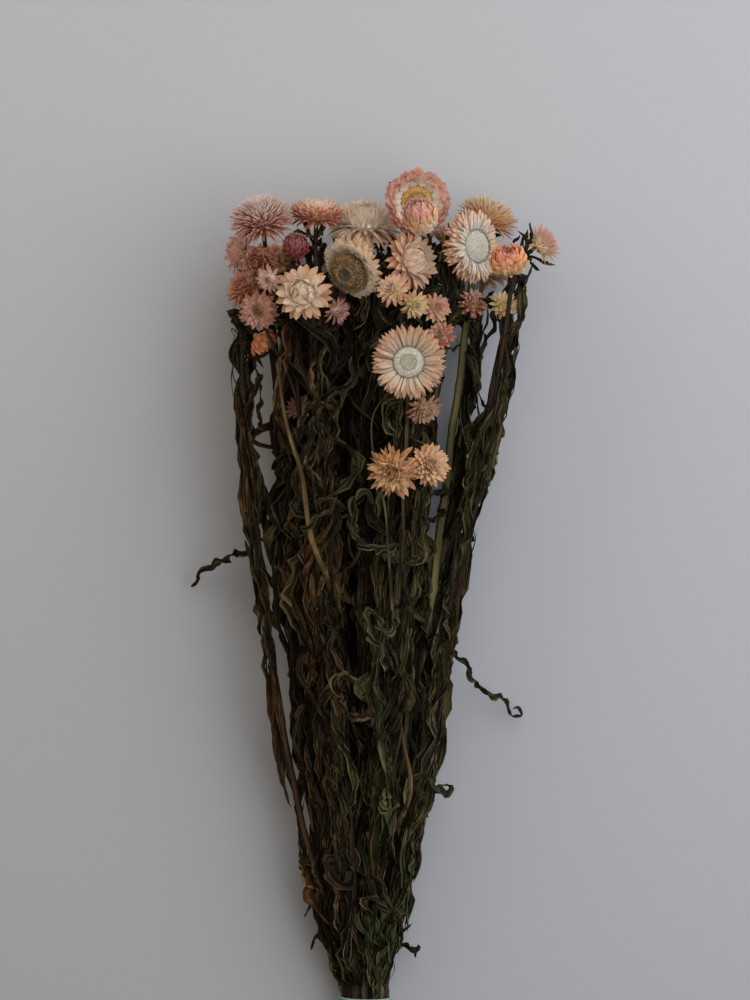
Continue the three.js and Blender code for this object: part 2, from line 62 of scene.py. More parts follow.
# ---- Sizes shared with the solids ----
TIE_X = -4.0
STEM_PITCH = 5.6
STEM_RADIUS = 2.3
CLEARANCE = 0.3
ROW_RISE = math.sqrt(3) / 2
TIE_WIDTH = 11.0
TIE_WALL = 1.5
TIE_INNER = 2 * STEM_PITCH + STEM_RADIUS + CLEARANCE
TIE_HEIGHT = TIE_INNER + TIE_WALL
TAIL_LENGTH = 84.0
TAIL_SPREAD = 1.28
NECK_LENGTH = 8.5
SIDE_NECK_LENGTH = 6.0
NECK_BEND = 14.0
FAN_LOWER = (0.46, 0.3)
FAN_UPPER = (0.86, 0.75)
FAN_REACH = 70.0
FAN_SKEW = 0.2
SIDE_START = 0.35
SIDE_RISE = 0.3
SIDE_LEAN = 0.1
BEND_STEPS = 7

# Where leaves may stand, as rows of (y, left edge, right edge), and the openings between the strands.
BUNCH = np.array([
    (1, -29, 20), (33, -35, 24), (77, -40, 28), (99, -44, 30), (121, -49.5, 37), (165, -54.5, 42),
    (209, -60, 46), (253, -66, 53), (275, -69.5, 57), (297, -71, 62), (319, -73, 67), (341, -75, 75),
    (385, -77, 84), (442, -76, 90),
])
OPENINGS = [np.array(rows) for rows in (
    [(262, 31, 32), (275, 31, 35), (293, 34, 39), (316, 35, 45.5), (338, 36.5, 48), (360, 39.5, 51),
     (384, 44, 46)],
    [(326, -64.5, -62), (343, -62.5, -54), (357, -69, -52.5), (372, -61, -51.5), (387, -57, -55)],
    [(298, -57.5, -54.5), (320, -57.5, -55.5)],
    [(128, -46.5, -44.5), (150, -48.5, -46), (172, -50, -47), (207, -52, -49.5)],
    [(88, -36.5, -34.5), (108, -39, -37)],
    [(321, -13.5, -11), (337, -14, -11)],
    [(336, 61, 63), (345, 61, 66), (354, 63, 73), (362, 61.5, 67), (372, 70, 71.5)],
    [(364, 61, 62.5), (372, 65.5, 70), (379, 67, 72), (393, 67, 68.5)],
)]

# The height at which each form of head sits on its stem, as a share of its radius.
SEATS = {
    "open": -0.3, "half": -0.42, "small": -0.44, "burst": -0.4, "flat": -0.36, "dome": -0.38, "bud": -0.8,
}


def head(solid, radius, at, faces, habit, look, bracts, breadth=1.0, scant=(0, 0)):
    """A head: the form of its solid, its radius, middle and the way it faces, then its habit and finish,
    how many bracts it has, how broad they are beside its habit's own, and on which side, as an angle in
    degrees, they are scant, and by how much."""
    faces = np.array(faces, float)
    return {
        "seat": SEATS[solid], "radius": radius, "at": np.array(at, float),
        "faces": faces / np.linalg.norm(faces), "habit": habit, "look": look,
        "bracts": bracts, "breadth": breadth, "scant": scant,
    }


HEADS = {
    "head_lilac_left": head("burst", 17, (-61, 440, 64), (-0.1, 0.85, 0.5), "burst", "lilac", 480, 0.85),
    "head_rose_flat": head("flat", 15.5, (-31, 445, 50), (0.05, 1, 0.2), "flat", "rose", 330, 0.85),
    "head_lilac_side": head("half", 13, (-73, 425, 46), (-0.9, 0.35, 0.25), "half", "mauve", 70, 1.0),
    "head_rose_behind": head(
        "small", 13, (-62, 418, 80), (-0.4, -0.3, 0.8), "small", "umber", 110, 0.85, (90, 0.5)),
    "head_bud_dark": head("bud", 9, (-42, 425, 86), (0.1, 0.45, 0.8), "bud", "magenta", 120, 0.5),
    "head_cream_small": head("small", 8, (-55.5, 407, 100), (-0.4, -0.3, 0.8), "small", "blush", 44, 0.9),
    "head_rose_left": head("small", 12, (-69, 403, 61), (-0.45, 0.45, 0.6), "small", "russet", 110, 0.85),
    "head_lilac_star": head("small", 10.5, (-62, 390, 90), (-0.1, -0.2, 0.95), "small", "dusk", 78, 0.9),
    "head_rose_drooping": head("small", 10.5, (-62, 375, 62), (0.7, -0.6, 0.25), "cup", "orange", 60, 0.9),
    "head_cream_front": head("half", 15.5, (-37, 399, 104), (-0.25, 0.1, 0.95), "half", "cream", 104, 0.84),
    "head_lilac_tucked": head("small", 8, (-20, 390, 86), (0.6, -0.3, 0.6), "small", "mauve", 60, 0.8),
    "head_straw_dome": head("dome", 17, (-4, 440, 40), (0.05, 0.86, 0.5), "dome", "straw", 380, 1.0),
    "head_cream_seeded": head(
        "open", 19.5, (-11, 413, 84), (-0.5, -0.42, 0.76), "bowl", "pale", 190, 0.75, (225, 0.75)),
    "head_rose_ring": head("open", 19.3, (25, 452, 57), (0.05, -0.15, 0.98), "ring", "blush", 112, 1.0),
    "head_bud_rose": head("bud", 12.5, (27, 441, 89), (-0.3, 0.65, 0.7), "bud", "pearl", 84, 0.72),
    "head_peach_middle": head("half", 16.5, (21, 418, 76), (0.7, 0.15, 0.65), "half", "silk", 170, 0.7),
    "head_cream_star": head("small", 9.5, (12, 400, 106), (-0.35, 0.35, 0.85), "small", "shell", 66, 0.85),
    "head_straw_small": head("small", 8, (23, 393, 100), (0.3, -0.3, 0.9), "small", "sunny", 56, 0.85),
    "head_cream_wide": head(
        "open", 22.5, (57, 426, 74), (0.68, 0.05, 0.72), "open", "ivory", 250, 0.58, (0, 0.55)),
    "head_peach_high": head("burst", 17, (64, 442, 38), (0.35, 0.85, 0.1), "burst", "amber", 320, 0.85),
    "head_peach_cup": head("half", 13.5, (75, 414, 98), (-0.1, 0.75, 0.6), "cup", "coral", 110, 0.9),
    "head_lilac_right": head("small", 11.5, (94, 428, 50), (0.8, 0.45, 0.3), "burst", "petal", 150, 1.0),
    "head_peach_open": head("open", 20.5, (20, 361, 110), (-0.05, -0.03, 1), "open", "peach", 170, 0.66),
    "head_peach_hanging": head("small", 10, (28, 337, 93), (0.25, -0.7, 0.5), "small", "peach", 84, 0.8),
    "head_tan_low": head("half", 13, (12, 302, 100), (-0.3, -0.2, 0.9), "small", "tawny", 150, 0.62),
    "head_peach_low": head("small", 11.5, (31, 305, 92), (0.3, 0.1, 0.9), "small", "amber", 110, 0.8),
    "head_lilac_inner": head("small", 8.5, (35, 392, 70), (0.3, 0.2, 0.8), "small", "petal", 60, 0.9),
    "head_rose_inner": head("small", 8.5, (38, 376, 74), (-0.3, 0.3, 0.8), "small", "rose", 60, 0.9),
    "head_rose_right": head("small", 8.5, (56, 395, 52), (0.2, 0.4, 0.7), "small", "rose", 60, 0.9),
    "head_straw_right": head("small", 8, (73, 394, 62), (0.1, 0.3, 0.7), "small", "sunny", 50, 0.8),
    "head_lilac_hidden": head("small", 8.5, (-40.5, 337, 38), (-0.2, 0.5, 0.6), "small", "petal", 60, 0.9),
    "head_lilac_back": head("small", 11, (42, 432, 38), (0.3, 0.8, -0.1), "small", "rose", 60, 0.9),
    "head_rose_under": head("small", 14, (-52, 420, 13), (-0.2, 0.8, -0.5), "small", "rose", 80),
    "head_cream_under": head("small", 15, (-19, 412, 13), (0.1, 0.75, -0.6), "small", "cream", 80),
    "head_peach_under": head("small", 13.5, (64, 414, 13), (0.2, 0.8, -0.5), "small", "peach", 80),
}

# Heads whose bare middle shows: the disc's radius and height as shares of the head's, and its finish.
DISCS = {
    "disc_cream_seeded": ("head_cream_seeded", 0.52, 0.42, "seeded"),
    "disc_rose_ring": ("head_rose_ring", 0.5, 0.14, "ochre"),
    "disc_cream_wide": ("head_cream_wide", 0.42, 0.12, "felt"),
    "disc_peach_open": ("head_peach_open", 0.42, 0.12, "ringed"),
}

# Every leafy stem: its column and row in the tie, the head on its tip, side branches as (head, share of the
# stem's steps where it leaves), and its bark.
STEMS = {
    "stem_cream_front": ((-1, 2), "head_cream_front", [("head_lilac_tucked", 0.8)], "brown"),
    "stem_peach_open": (
        (0, 2), "head_peach_open",
        [("head_peach_hanging", 0.62), ("head_tan_low", 0.5), ("head_peach_low", 0.56)], "ash"),
    "stem_peach_cup": ((1, 2), "head_peach_cup", [("head_straw_right", 0.82)], "brown"),
    "stem_bud_dark": (
        (-1.5, 1), "head_bud_dark", [("head_cream_small", 0.82), ("head_lilac_star", 0.74)], "brown"),
    "stem_cream_seeded": ((-0.5, 1), "head_cream_seeded", [], "brown"),
    "stem_peach_middle": (
        (0.5, 1), "head_peach_middle", [("head_cream_star", 0.84), ("head_straw_small", 0.8)], "ash"),
    "stem_cream_wide": ((1.5, 1), "head_cream_wide", [("head_rose_right", 0.86)], "ash"),
    "stem_rose_drooping": ((-2, 0), "head_rose_drooping", [], "brown"),
    "stem_lilac_left": ((-1, 0), "head_lilac_left", [("head_rose_behind", 0.84)], "brown"),
    "stem_rose_ring": ((0, 0), "head_rose_ring", [("head_bud_rose", 0.86)], "brown"),
    "stem_rose_inner": ((1, 0), "head_lilac_inner", [("head_rose_inner", 0.8)], "ash"),
    "stem_lilac_right": ((2, 0), "head_lilac_right", [], "brown"),
    "stem_lilac_side": (
        (-1.5, -1), "head_lilac_side", [("head_rose_left", 0.86), ("head_lilac_hidden", 0.66)], "brown"),
    "stem_rose_flat": ((-0.5, -1), "head_rose_flat", [], "brown"),
    "stem_straw_dome": ((0.5, -1), "head_straw_dome", [], "olive"),
    "stem_peach_high": ((1.5, -1), "head_peach_high", [("head_lilac_back", 0.82)], "olive"),
    "stem_rose_under": ((-1, -2), "head_rose_under", [], "brown"),
    "stem_cream_under": ((0, -2), "head_cream_under", [], "brown"),
    "stem_peach_under": ((1, -2), "head_peach_under", [], "olive"),
}

# How full of leaves the outer stems are, and how far these stand off, beside the others.
THIN_LEAVED = {
    "stem_rose_drooping": (0.6, 0.6), "stem_lilac_left": (0.9, 1.0), "stem_lilac_side": (1.0, 1.2),
    "stem_lilac_right": (0.45, 0.7), "stem_peach_cup": (0.7, 0.8), "stem_peach_high": (0.55, 0.8),
    "stem_cream_wide": (0.8, 0.8), "stem_peach_under": (0.7, 1.0),
}

# Stems that are stouter than the rest, by this much.
STOUT = {"stem_peach_high": 1.5}

# Habits of leaves: their part of all leaves of a stem, their length and width beside the usual, how far they
# stand off it, sway and hook at the tip, how strongly they crinkle, how far they roll, and how pale they are:
# how strongly their pale edges and crests show, partly painted highlight.
LEAVES = {
    "blade": dict(
        part=0.32, long=(0.6, 1.6), wide=(0.5, 1.25), reach=(1.5, 14.0), sway=11, hook=20,
        crinkle=0.9, roll=1.8, pale=0.62),
    "curl": dict(
        part=0.1, long=(0.4, 0.95), wide=(0.7, 1.3), reach=(3.0, 13.0), sway=11, hook=60,
        crinkle=0.6, roll=2.6, pale=0.9),
    "strand": dict(
        part=0.4, long=(0.9, 2.1), wide=(0.2, 0.5), reach=(1.0, 8.5), sway=6, hook=16,
        crinkle=0.8, roll=3.4, pale=0.9),
    "fibre": dict(
        part=0.18, long=(0.5, 1.3), wide=(0.08, 0.16), reach=(2.0, 10.0), sway=7, hook=30,
        crinkle=1.6, roll=1.0, pale=1.3),
}

# Single leaves that stand out from the bunch: the share of the stem's steps where each is rooted, its width,
# the points that it passes on the way to its tip, which way its tip closes in a loop, if it does, and how
# pale it is, where that isn't the usual.
USUAL_PALE = 0.35
SINGLE_LEAVES = {
    "stem_rose_drooping": [
        (0.64, 6.2, [(-77, 256, 34), (-89, 248, 20), (-96, 245, 14), (-103, 237, 9)], 0),
        (0.78, 4.6, [(-63, 350, 60), (-66, 362, 64), (-61, 367, 66), (-55, 370, 64)], 0)],
    "stem_lilac_left": [
        (0.72, 4.6, [(-61, 328, 58), (-62.5, 343, 62), (-61.5, 357, 62)], 0),
        (0.66, 7.0, [(-41, 318, 84), (-34, 337, 92), (-21, 347, 94), (-5, 351, 90)], 0)],
    "stem_bud_dark": [
        (0.68, 5.0, [(-39, 309, 86), (-31, 330, 94), (-21, 343, 96), (-11, 350, 94), (-4, 362, 88)], 0),
        (0.6, 4.4, [(-30, 281, 84), (-22, 285, 88), (-14, 281, 86), (-13, 270, 80)], 0),
        (0.62, 4.6, [(-37, 270, 92), (-30, 275, 95), (-22, 281, 94), (-19, 288, 90)], 0, 0.62)],
    "stem_lilac_right": [
        (0.52, 5.2, [(51, 194, 34), (60, 182, 22), (73, 173, 12), (79, 164, 8)], 1),
        (0.93, 4.2, [(82, 418, 52), (84, 428, 58), (86, 437, 60)], 0),
        (0.95, 3.4, [(86, 424, 54), (89, 433, 58), (88, 441, 60)], 0),
        (0.9, 3.6, [(80, 416, 50), (79, 428, 56), (82, 434, 60)], 0),
        (0.8, 3.4, [(74, 366, 52), (70, 360, 56), (71, 353, 56), (75, 357, 54)], 0),
        (0.74, 3.0, [(70, 340, 50), (64, 338, 55), (60, 343, 58), (58, 349, 58)], 0)],
    "stem_peach_cup": [(0.42, 7.0, [(36, 123, 46), (42, 120, 44), (43, 126, 42), (38, 126, 44)], 0)],
    "stem_peach_high": [
        (0.84, 5.4, [(57, 397, 50), (66, 396, 56), (69, 384, 56), (64, 374, 50)], 0),
        (0.66, 6.0, [(37, 291, 52), (30, 286, 54), (27, 280, 52)], 0),
        (0.64, 5.4, [(36, 277, 50), (30, 274, 54), (26, 266, 52)], 0)],
    "stem_rose_inner": [
        (0.86, 4.6, [(39, 398, 66), (41, 414, 64), (42, 430, 60), (43, 441, 56)], 0),
        (0.88, 3.6, [(42, 396, 62), (44, 410, 64), (42, 424, 62)], 0)],
    "stem_peach_open": [
        (0.5, 9.0, [(-12, 168, 76), (-20, 176, 78), (-18, 186, 82), (-9, 186, 84), (-5, 178, 80)], 0, 0.62),
        (0.29, 7.0, [(-2, 62, 48), (10, 58, 52), (21, 55, 48)], 0, 0.66),
        (0.34, 9.0, [(-22, 84, 44), (-20, 74, 50), (-11, 74, 52), (-9, 84, 50), (-16, 90, 48)], 0, 0.45),
        (0.42, 8.0, [(4, 120, 68), (10, 115, 74), (15, 119, 72)], 0, 0.72),
        (0.6, 7.0, [(8, 214, 84), (-1, 224, 86), (3, 205, 88), (8, 192, 84)], 0, 0.5),
        (0.68, 7.5, [(-6, 262, 84), (-12, 276, 88), (-4, 290, 90), (2, 282, 88)], 0, 0.5)],
    "stem_rose_flat": [
        (0.84, 9.0, [(-37, 410, 34), (-42, 420, 38), (-39, 433, 38)], 0, 0.1),
        (0.84, 9.0, [(-25, 408, 34), (-20, 421, 38), (-23, 435, 36)], 0, 0.2),
        (0.86, 8.0, [(-33, 416, 40), (-36, 430, 40)], 0, 0.0),
        (0.86, 8.0, [(-28, 416, 40), (-26, 431, 40)], 0, 0.3)],
    "stem_straw_dome": [
        (0.84, 9.0, [(-11, 404, 24), (-15, 418, 28), (-13, 431, 30)], 0, 0.1),
        (0.84, 9.0, [(3, 404, 24), (8, 420, 28), (9, 434, 30)], 0, 0.2),
        (0.86, 8.0, [(-1, 410, 28), (3, 424, 30)], 0, 0.1)],
    "stem_rose_ring": [
        (0.84, 8.0, [(16, 412, 34), (12, 426, 38), (10, 436, 38)], 0, 0.1),
        (0.84, 8.0, [(30, 416, 36), (37, 426, 38), (40, 436, 38)], 0, 0.2)],
    "stem_peach_under": [(0.25, 5.5, [(21, 32, 22), (26, 34, 18), (25, 26, 14)], 0, 0.2)],
    "stem_lilac_side": [
        (0.26, 4.0, [(-32, 40, 18), (-34, 31, 14)], 0, 0.3),
        (0.36, 5.0, [(-38, 92, 30), (-34, 76, 30), (-35, 62, 26), (-38, 50, 18)], 0, 0.6)],
}

# Habits of heads. Bracts follow one another by the golden angle, from the innermost to the outermost. The
# lists run over them: root as (radius, height), the slope at the root and at the tip in degrees over the
# head's plane, length and width, all lengths as shares of the head's radius. Widest tells how far out a
# bract is broadest, blunt how round its tip is (small is round) and cup how hollow it is.
HABITS = {
    "open": dict(
        root=[(0.41, 0.1), (0.41, 0.07), (0.4, 0.03), (0.36, -0.02), (0.3, -0.1)],
        slope=[34, 26, 16, 6, -6], tip=[12, 6, 0, -4, -12],
        length=[0.44, 0.54, 0.6, 0.64, 0.64], width=[0.15, 0.16, 0.17, 0.18, 0.18],
        widest=0.6, blunt=0.55, cup=0.16),
    "bowl": dict(
        root=[(0.56, 0.08), (0.55, 0.06), (0.52, 0.02), (0.46, -0.06), (0.36, -0.14)],
        slope=[56, 50, 38, 22, 4], tip=[44, 34, 20, 2, -10],
        length=[0.4, 0.5, 0.56, 0.58, 0.6], width=[0.18, 0.2, 0.21, 0.21, 0.2],
        widest=0.62, blunt=0.5, cup=0.25),
    "ring": dict(
        root=[(0.44, 0.1), (0.46, 0.08), (0.48, 0.04), (0.46, -0.02), (0.4, -0.1)],
        slope=[30, 24, 16, 8, -4], tip=[56, 48, 38, 22, 4],
        length=[0.34, 0.42, 0.5, 0.54, 0.56], width=[0.26, 0.28, 0.3, 0.3, 0.28],
        widest=0.68, blunt=0.4, cup=0.3),
    "half": dict(
        root=[(0.14, 0.5), (0.36, 0.32), (0.46, 0.08), (0.36, 0.0), (0.28, -0.1)],
        slope=[150, 122, 92, 22, -2], tip=[172, 164, 150, 8, -16],
        length=[0.28, 0.46, 0.62, 0.68, 0.76], width=[0.3, 0.38, 0.42, 0.32, 0.28],
        widest=0.56, blunt=0.6, cup=0.4),
    "small": dict(
        root=[(0.06, 0.2), (0.16, 0.18), (0.24, 0.12), (0.28, 0.02), (0.26, -0.08)],
        slope=[84, 70, 50, 26, 2], tip=[104, 78, 46, 14, -16],
        length=[0.42, 0.58, 0.72, 0.82, 0.82], width=[0.24, 0.28, 0.32, 0.33, 0.31],
        widest=0.55, blunt=0.66, cup=0.45),
    "cup": dict(
        root=[(0.08, 0.1), (0.18, 0.06), (0.28, -0.02), (0.32, -0.12), (0.28, -0.22)],
        slope=[88, 76, 52, 26, 4], tip=[116, 114, 124, 122, 76],
        length=[0.5, 0.68, 0.92, 0.98, 0.78], width=[0.3, 0.38, 0.46, 0.5, 0.44],
        widest=0.66, blunt=0.3, cup=0.6),
    "burst": dict(
        root=[(0.04, 0.2), (0.18, 0.18), (0.32, 0.1), (0.38, -0.04), (0.32, -0.14)],
        slope=[88, 74, 58, 38, 2], tip=[86, 66, 46, 18, -30],
        length=[0.56, 0.64, 0.74, 0.8, 0.72], width=[0.12, 0.12, 0.125, 0.13, 0.14],
        widest=0.55, blunt=0.85, cup=0.4),
    "flat": dict(
        root=[(0.06, 0.24), (0.32, 0.22), (0.6, 0.12), (0.64, -0.04), (0.46, -0.16)],
        slope=[88, 84, 72, 34, -24], tip=[92, 98, 100, 62, -66],
        length=[0.3, 0.34, 0.42, 0.5, 0.5], width=[0.17, 0.2, 0.24, 0.22, 0.13],
        widest=0.62, blunt=0.5, cup=0.4),
    "dome": dict(
        root=[(0.04, 0.36), (0.28, 0.34), (0.48, 0.22), (0.52, 0.04), (0.38, -0.08)],
        slope=[90, 84, 70, 2, -16], tip=[116, 130, 124, -26, -44],
        length=[0.34, 0.4, 0.48, 0.72, 0.94], width=[0.1, 0.11, 0.12, 0.12, 0.12],
        widest=0.55, blunt=0.8, cup=0.4),
    "bud": dict(
        root=[(0.12, 0.66), (0.42, 0.52), (0.66, 0.24), (0.76, -0.14), (0.6, -0.52)],
        slope=[150, 126, 106, 88, 60], tip=[168, 142, 118, 100, 84],
        length=[0.36, 0.56, 0.74, 0.84, 0.86], width=[0.36, 0.42, 0.48, 0.52, 0.52],
        widest=0.55, blunt=0.56, cup=0.5),
}

# The firm heart of each habit under its bracts: (radius, height) from the crown down.
HEARTS = {
    "open": [(0.2, -0.02), (0.38, 0.0), (0.44, -0.05), (0.3, -0.14), (0.1, -0.2)],
    "bowl": [(0.2, -0.02), (0.5, 0.0), (0.56, -0.06), (0.34, -0.18), (0.1, -0.24)],
    "ring": [(0.2, -0.02), (0.48, 0.0), (0.52, -0.05), (0.34, -0.16), (0.1, -0.22)],
    "half": [(0.2, 0.5), (0.38, 0.34), (0.45, 0.1), (0.38, -0.1), (0.12, -0.22)],
    "small": [(0.16, 0.4), (0.34, 0.2), (0.38, 0.0), (0.26, -0.16), (0.1, -0.22)],
    "cup": [(0.16, 0.2), (0.34, 0.08), (0.42, -0.08), (0.3, -0.22), (0.1, -0.28)],
    "burst": [(0.2, 0.36), (0.36, 0.28), (0.46, 0.1), (0.44, -0.06), (0.28, -0.2), (0.12, -0.26)],
    "flat": [(0.4, 0.42), (0.66, 0.34), (0.74, 0.12), (0.5, -0.12), (0.14, -0.22)],
    "dome": [(0.2, 0.6), (0.46, 0.5), (0.6, 0.2), (0.5, -0.04), (0.16, -0.18)],
    "bud": [(0.3, 0.72), (0.62, 0.4), (0.76, -0.06), (0.62, -0.46), (0.2, -0.66)],
}

GOLDEN_ANGLE = math.pi * (3 - math.sqrt(5))
BRACT_STATIONS = 7
HEART_SIDES, NECK_SIDES, DISC_SIDES, FLORET_SIDES = 20, 16, 40, 5
HEAD_SEED, LEAF_SEED, TIE_SEED = 41, 907, 5

# The finishes of a head's faces and of a stem's, as places in the mesh's list of materials.
PETAL, CHAFF, SCALE = 0, 1, 2
LEAF, BARK, STRAW = 0, 1, 2

# The least heights over the surface of any point, of a head, and of a leaf.
POINT_GAP, HEAD_GAP, LEAF_GAP = 0.1, 0.2, 0.6

# ---- Meshes ----

_tie_low, _tie_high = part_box("tie_band")
# From the bunch's own millimetres to the frame's, found from the tie's solid.
SHIFT = MM / 2 * np.array(_tie_low + _tie_high) * (1, 1, 0) - (TIE_X, 0, 0) + (0, 0, MM * _tie_low.z)


def unit(vectors):
    """Vectors of length one."""
    return vectors / np.maximum(np.linalg.norm(vectors, axis=-1, keepdims=True), 1e-9)


class Shell:
    """Gathers closed surfaces and makes one mesh object of them.

    Every point carries its growth: how far along its bract, leaf or stem it stands, how far across, the
    rank of what it is on among its neighbours, and a shade of its own, from 0 to 1.
    """

    def __init__(self):
        self.points, self.growth, self.quads, self.fans, self.finish = [], [], [], [], [[], []]
        self.used = 0

    def add(self, rings, ends, growth, finish=0):
        """Closed skins, each a section carried through stations with a fan to a point at both ends.

        rings is (skins, stations, around, 3) and ends (skins, 2, 3). growth is four arrays that fit
        (skins, stations, around), or numbers. A skin that comes out inside out, as its volume tells from
        the sum of its faces' cones to the origin, is turned.
        """
        skins, stations, around, _ = rings.shape
        if skins == 0:
            return
        own = stations * around + 2
        here = np.arange(around)
        after = (here + 1) % around
        rows = around * np.arange(stations - 1)[:, None]
        quads = np.stack([rows + here, rows + after, rows + around + after, rows + around + here], -1)
        quads = quads.reshape(-1, 4)
        last = rows[-1, 0] + around if stations > 1 else 0
        fans = np.concatenate([
            np.stack([np.full(around, own - 2), after, here], -1),
            np.stack([np.full(around, own - 1), last + here, last + after], -1),
        ])
        points = np.concatenate([rings.reshape(skins, -1, 3), ends], 1)
        parts = np.concatenate([quads[:, :3], quads[:, [0, 2, 3]], fans])
        a, b, c = (points[:, parts[:, k]] - points[:, :1] for k in range(3))
        if np.einsum("ijk,ijk->", a, np.cross(b, c)) < 0:
            quads, fans = quads[:, ::-1], fans[:, ::-1]
        start = self.used + own * np.arange(skins)[:, None, None]
        self.quads.append((quads + start).reshape(-1, 4))
        self.fans.append((fans + start).reshape(-1, 3))
        self.finish[0].append(np.full(len(self.quads[-1]), finish))
        self.finish[1].append(np.full(len(self.fans[-1]), finish))
        values = np.stack([np.broadcast_to(g, (skins, stations, around)) for g in growth], -1)
        tips = np.stack([values[:, 0].mean(1), values[:, -1].mean(1)], 1)
        self.points.append(points.reshape(-1, 3))
        self.growth.append(np.concatenate([values.reshape(skins, -1, 4), tips], 1).reshape(-1, 4))
        self.used += own * skins

    def lowest(self):
        """The least height of any point."""
        return min(points[:, 2].min() for points in self.points)

    def raised(self, by):
        """Lifts everything gathered so far."""
        self.points = [points + (0, 0, by) for points in self.points]

    def make(self, node, slot, finishes, crisp=-1):
        """The mesh object that stands for a node of the frame. Faces of one finish may stay crisp."""
        points = (np.concatenate(self.points) + SHIFT) / MM
        points[:, 2] = np.maximum(points[:, 2], POINT_GAP / MM)
        quads, fans = np.concatenate(self.quads), np.concatenate(self.fans)
        corners = np.concatenate([quads.ravel(), fans.ravel()]).astype(np.int32)
        starts = np.concatenate([4 * np.arange(len(quads)), 4 * len(quads) + 3 * np.arange(len(fans))])
        mesh = bpy.data.meshes.new("dried_" + node)
        mesh.vertices.add(len(points))
        mesh.vertices.foreach_set("co", points.astype(np.float32).ravel())
        mesh.loops.add(len(corners))
        mesh.loops.foreach_set("vertex_index", corners)
        mesh.polygons.add(len(starts))
        mesh.polygons.foreach_set("loop_start", starts.astype(np.int32))
        for finish in finishes:
            mesh.materials.append(finish)
        painted = np.concatenate([*self.finish[0], *self.finish[1]])
        mesh.polygons.foreach_set("material_index", painted.astype(np.int32))
        mesh.polygons.foreach_set("use_smooth", painted != crisp)
        mesh.update(calc_edges=True)
        growth = mesh.attributes.new("growth", "FLOAT_COLOR", "POINT")
        growth.data.foreach_set("color", np.concatenate(self.growth).astype(np.float32).ravel())
        mesh.validate()
        piece = bpy.data.objects.new("dried_" + node, mesh)
        bpy.context.scene.collection.objects.link(piece)
        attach(piece, "root")
        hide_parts(node)
        return piece


# The sections of a bract and of a leaf, as shares of the half width and sides of the blade: the upper face
# from edge to edge, then the lower.
BRACT_SECTION = np.array([(-1, 0.15), (-0.36, 1), (0.36, 1), (1, 0.15), (0, -1)])
LEAF_SECTION = np.array([(-1, 0.1), (0, 1), (1, 0.1), (0, -1)])


def add_blades(shell, section, middle, across, face, half, fold, ruffle, thickness, rank, shade, finish=0):
    """Thin closed blades, bracts or leaves.

    middle, across and face are (blades, stations, 3) and half (blades, stations). A point at share q of
    the half width stands at middle + q half across + half (fold q² + ruffle |q|) face, half the thickness
    to either side; ruffle is (blades, stations, 2), for the left and the right edge. The first and last
    stations are the blade's points.
    """
    q, sides = section.T
    edge = np.where(q < 0, ruffle[..., :1], ruffle[..., 1:]) * np.abs(q)
    lift = half[..., None] * (np.asarray(fold)[..., None] * q * q + edge) + thickness / 2 * sides
    skin = middle[:, :, None] + (half[..., None] * q)[..., None] * across[:, :, None]
    skin = skin + lift[..., None] * face[:, :, None]
    along = np.linspace(0, 1, middle.shape[1])[None, 1:-1, None]
    growth = (along, (q + 1) / 2, rank[:, None, None], shade[:, None, None])
    shell.add(skin[:, 1:-1], middle[:, [0, -1]], growth, finish)


def rolled(across, face, angle):
    """Two directions square to each other, turned by an angle in their plane."""
    cos, sin = np.cos(angle)[..., None], np.sin(angle)[..., None]
    return cos * across + sin * face, cos * face - sin * across


def frames_along(paths, turn, angle):
    """The across and face vectors of blades on paths (blades, stations, 3): square to the path, the face
    towards turn, then rolled about the path by an angle at each station."""
    along = unit(np.gradient(paths, axis=1))
    across = unit(np.cross(along, turn))
    return rolled(across, np.cross(across, along), angle)


def tube_rings(path, radii, sides, ridge=0.0, ridges=5):
    """A section carried along a path with as little turning as possible. At angle a it stands off the path
    by the radius there times 1 + ridge cos(ridges a)."""
    along = unit(np.gradient(path, axis=0))
    side = np.array([1.0, 0, 0])
    sideways = []
    for heading in along:
        side = side - side.dot(heading) * heading
        side = side / np.linalg.norm(side)
        sideways.append(side)
    sideways = np.array(sideways)[:, None]
    other = np.cross(along[:, None], sideways)
    a = 2 * math.pi * np.arange(sides)[None, :, None] / sides
    reach = np.asarray(radii)[:, None, None] * (1 + ridge * np.cos(ridges * a))
    return path[:, None] + reach * (np.cos(a) * sideways + np.sin(a) * other)


def vectors_to(vectors, one):
    """Directions in a head's own frame brought to the bunch's."""
    spin = Vector((0, 0, 1)).rotation_difference(Vector(one["faces"])).to_matrix()
    return vectors @ np.array(spin).T


def turned_to(points, one):
    """Points in a head's own frame, in radii with +Z the way it faces, brought to their place."""
    return vectors_to(one["radius"] * points, one) + one["at"]


def add_turned(shell, one, profile, sides, shade, finish, top, bottom, rank=0.5):
    """A round body about a head's axis: its profile of (radius, height) carried once round."""
    a = 2 * math.pi * np.arange(sides) / sides
    r, h = np.array(profile).T
    rings = np.stack([np.outer(r, np.cos(a)), np.outer(r, np.sin(a)), np.outer(h, np.ones(sides))], -1)
    ends = np.array([[0, 0, top], [0, 0, bottom]], float)
    along = np.linspace(0.1, 0.4, len(r))[None, :, None]
    shell.add(turned_to(rings, one)[None], turned_to(ends, one)[None], (along, 0.5, rank, shade), finish)


# ---- Heads ----


def over(count, knots):
    """Values that run evenly over the bracts, from the innermost to the outermost."""
    at = (np.arange(count) + 0.5) / count * (len(knots) - 1)
    return np.interp(at, np.arange(len(knots)), knots)


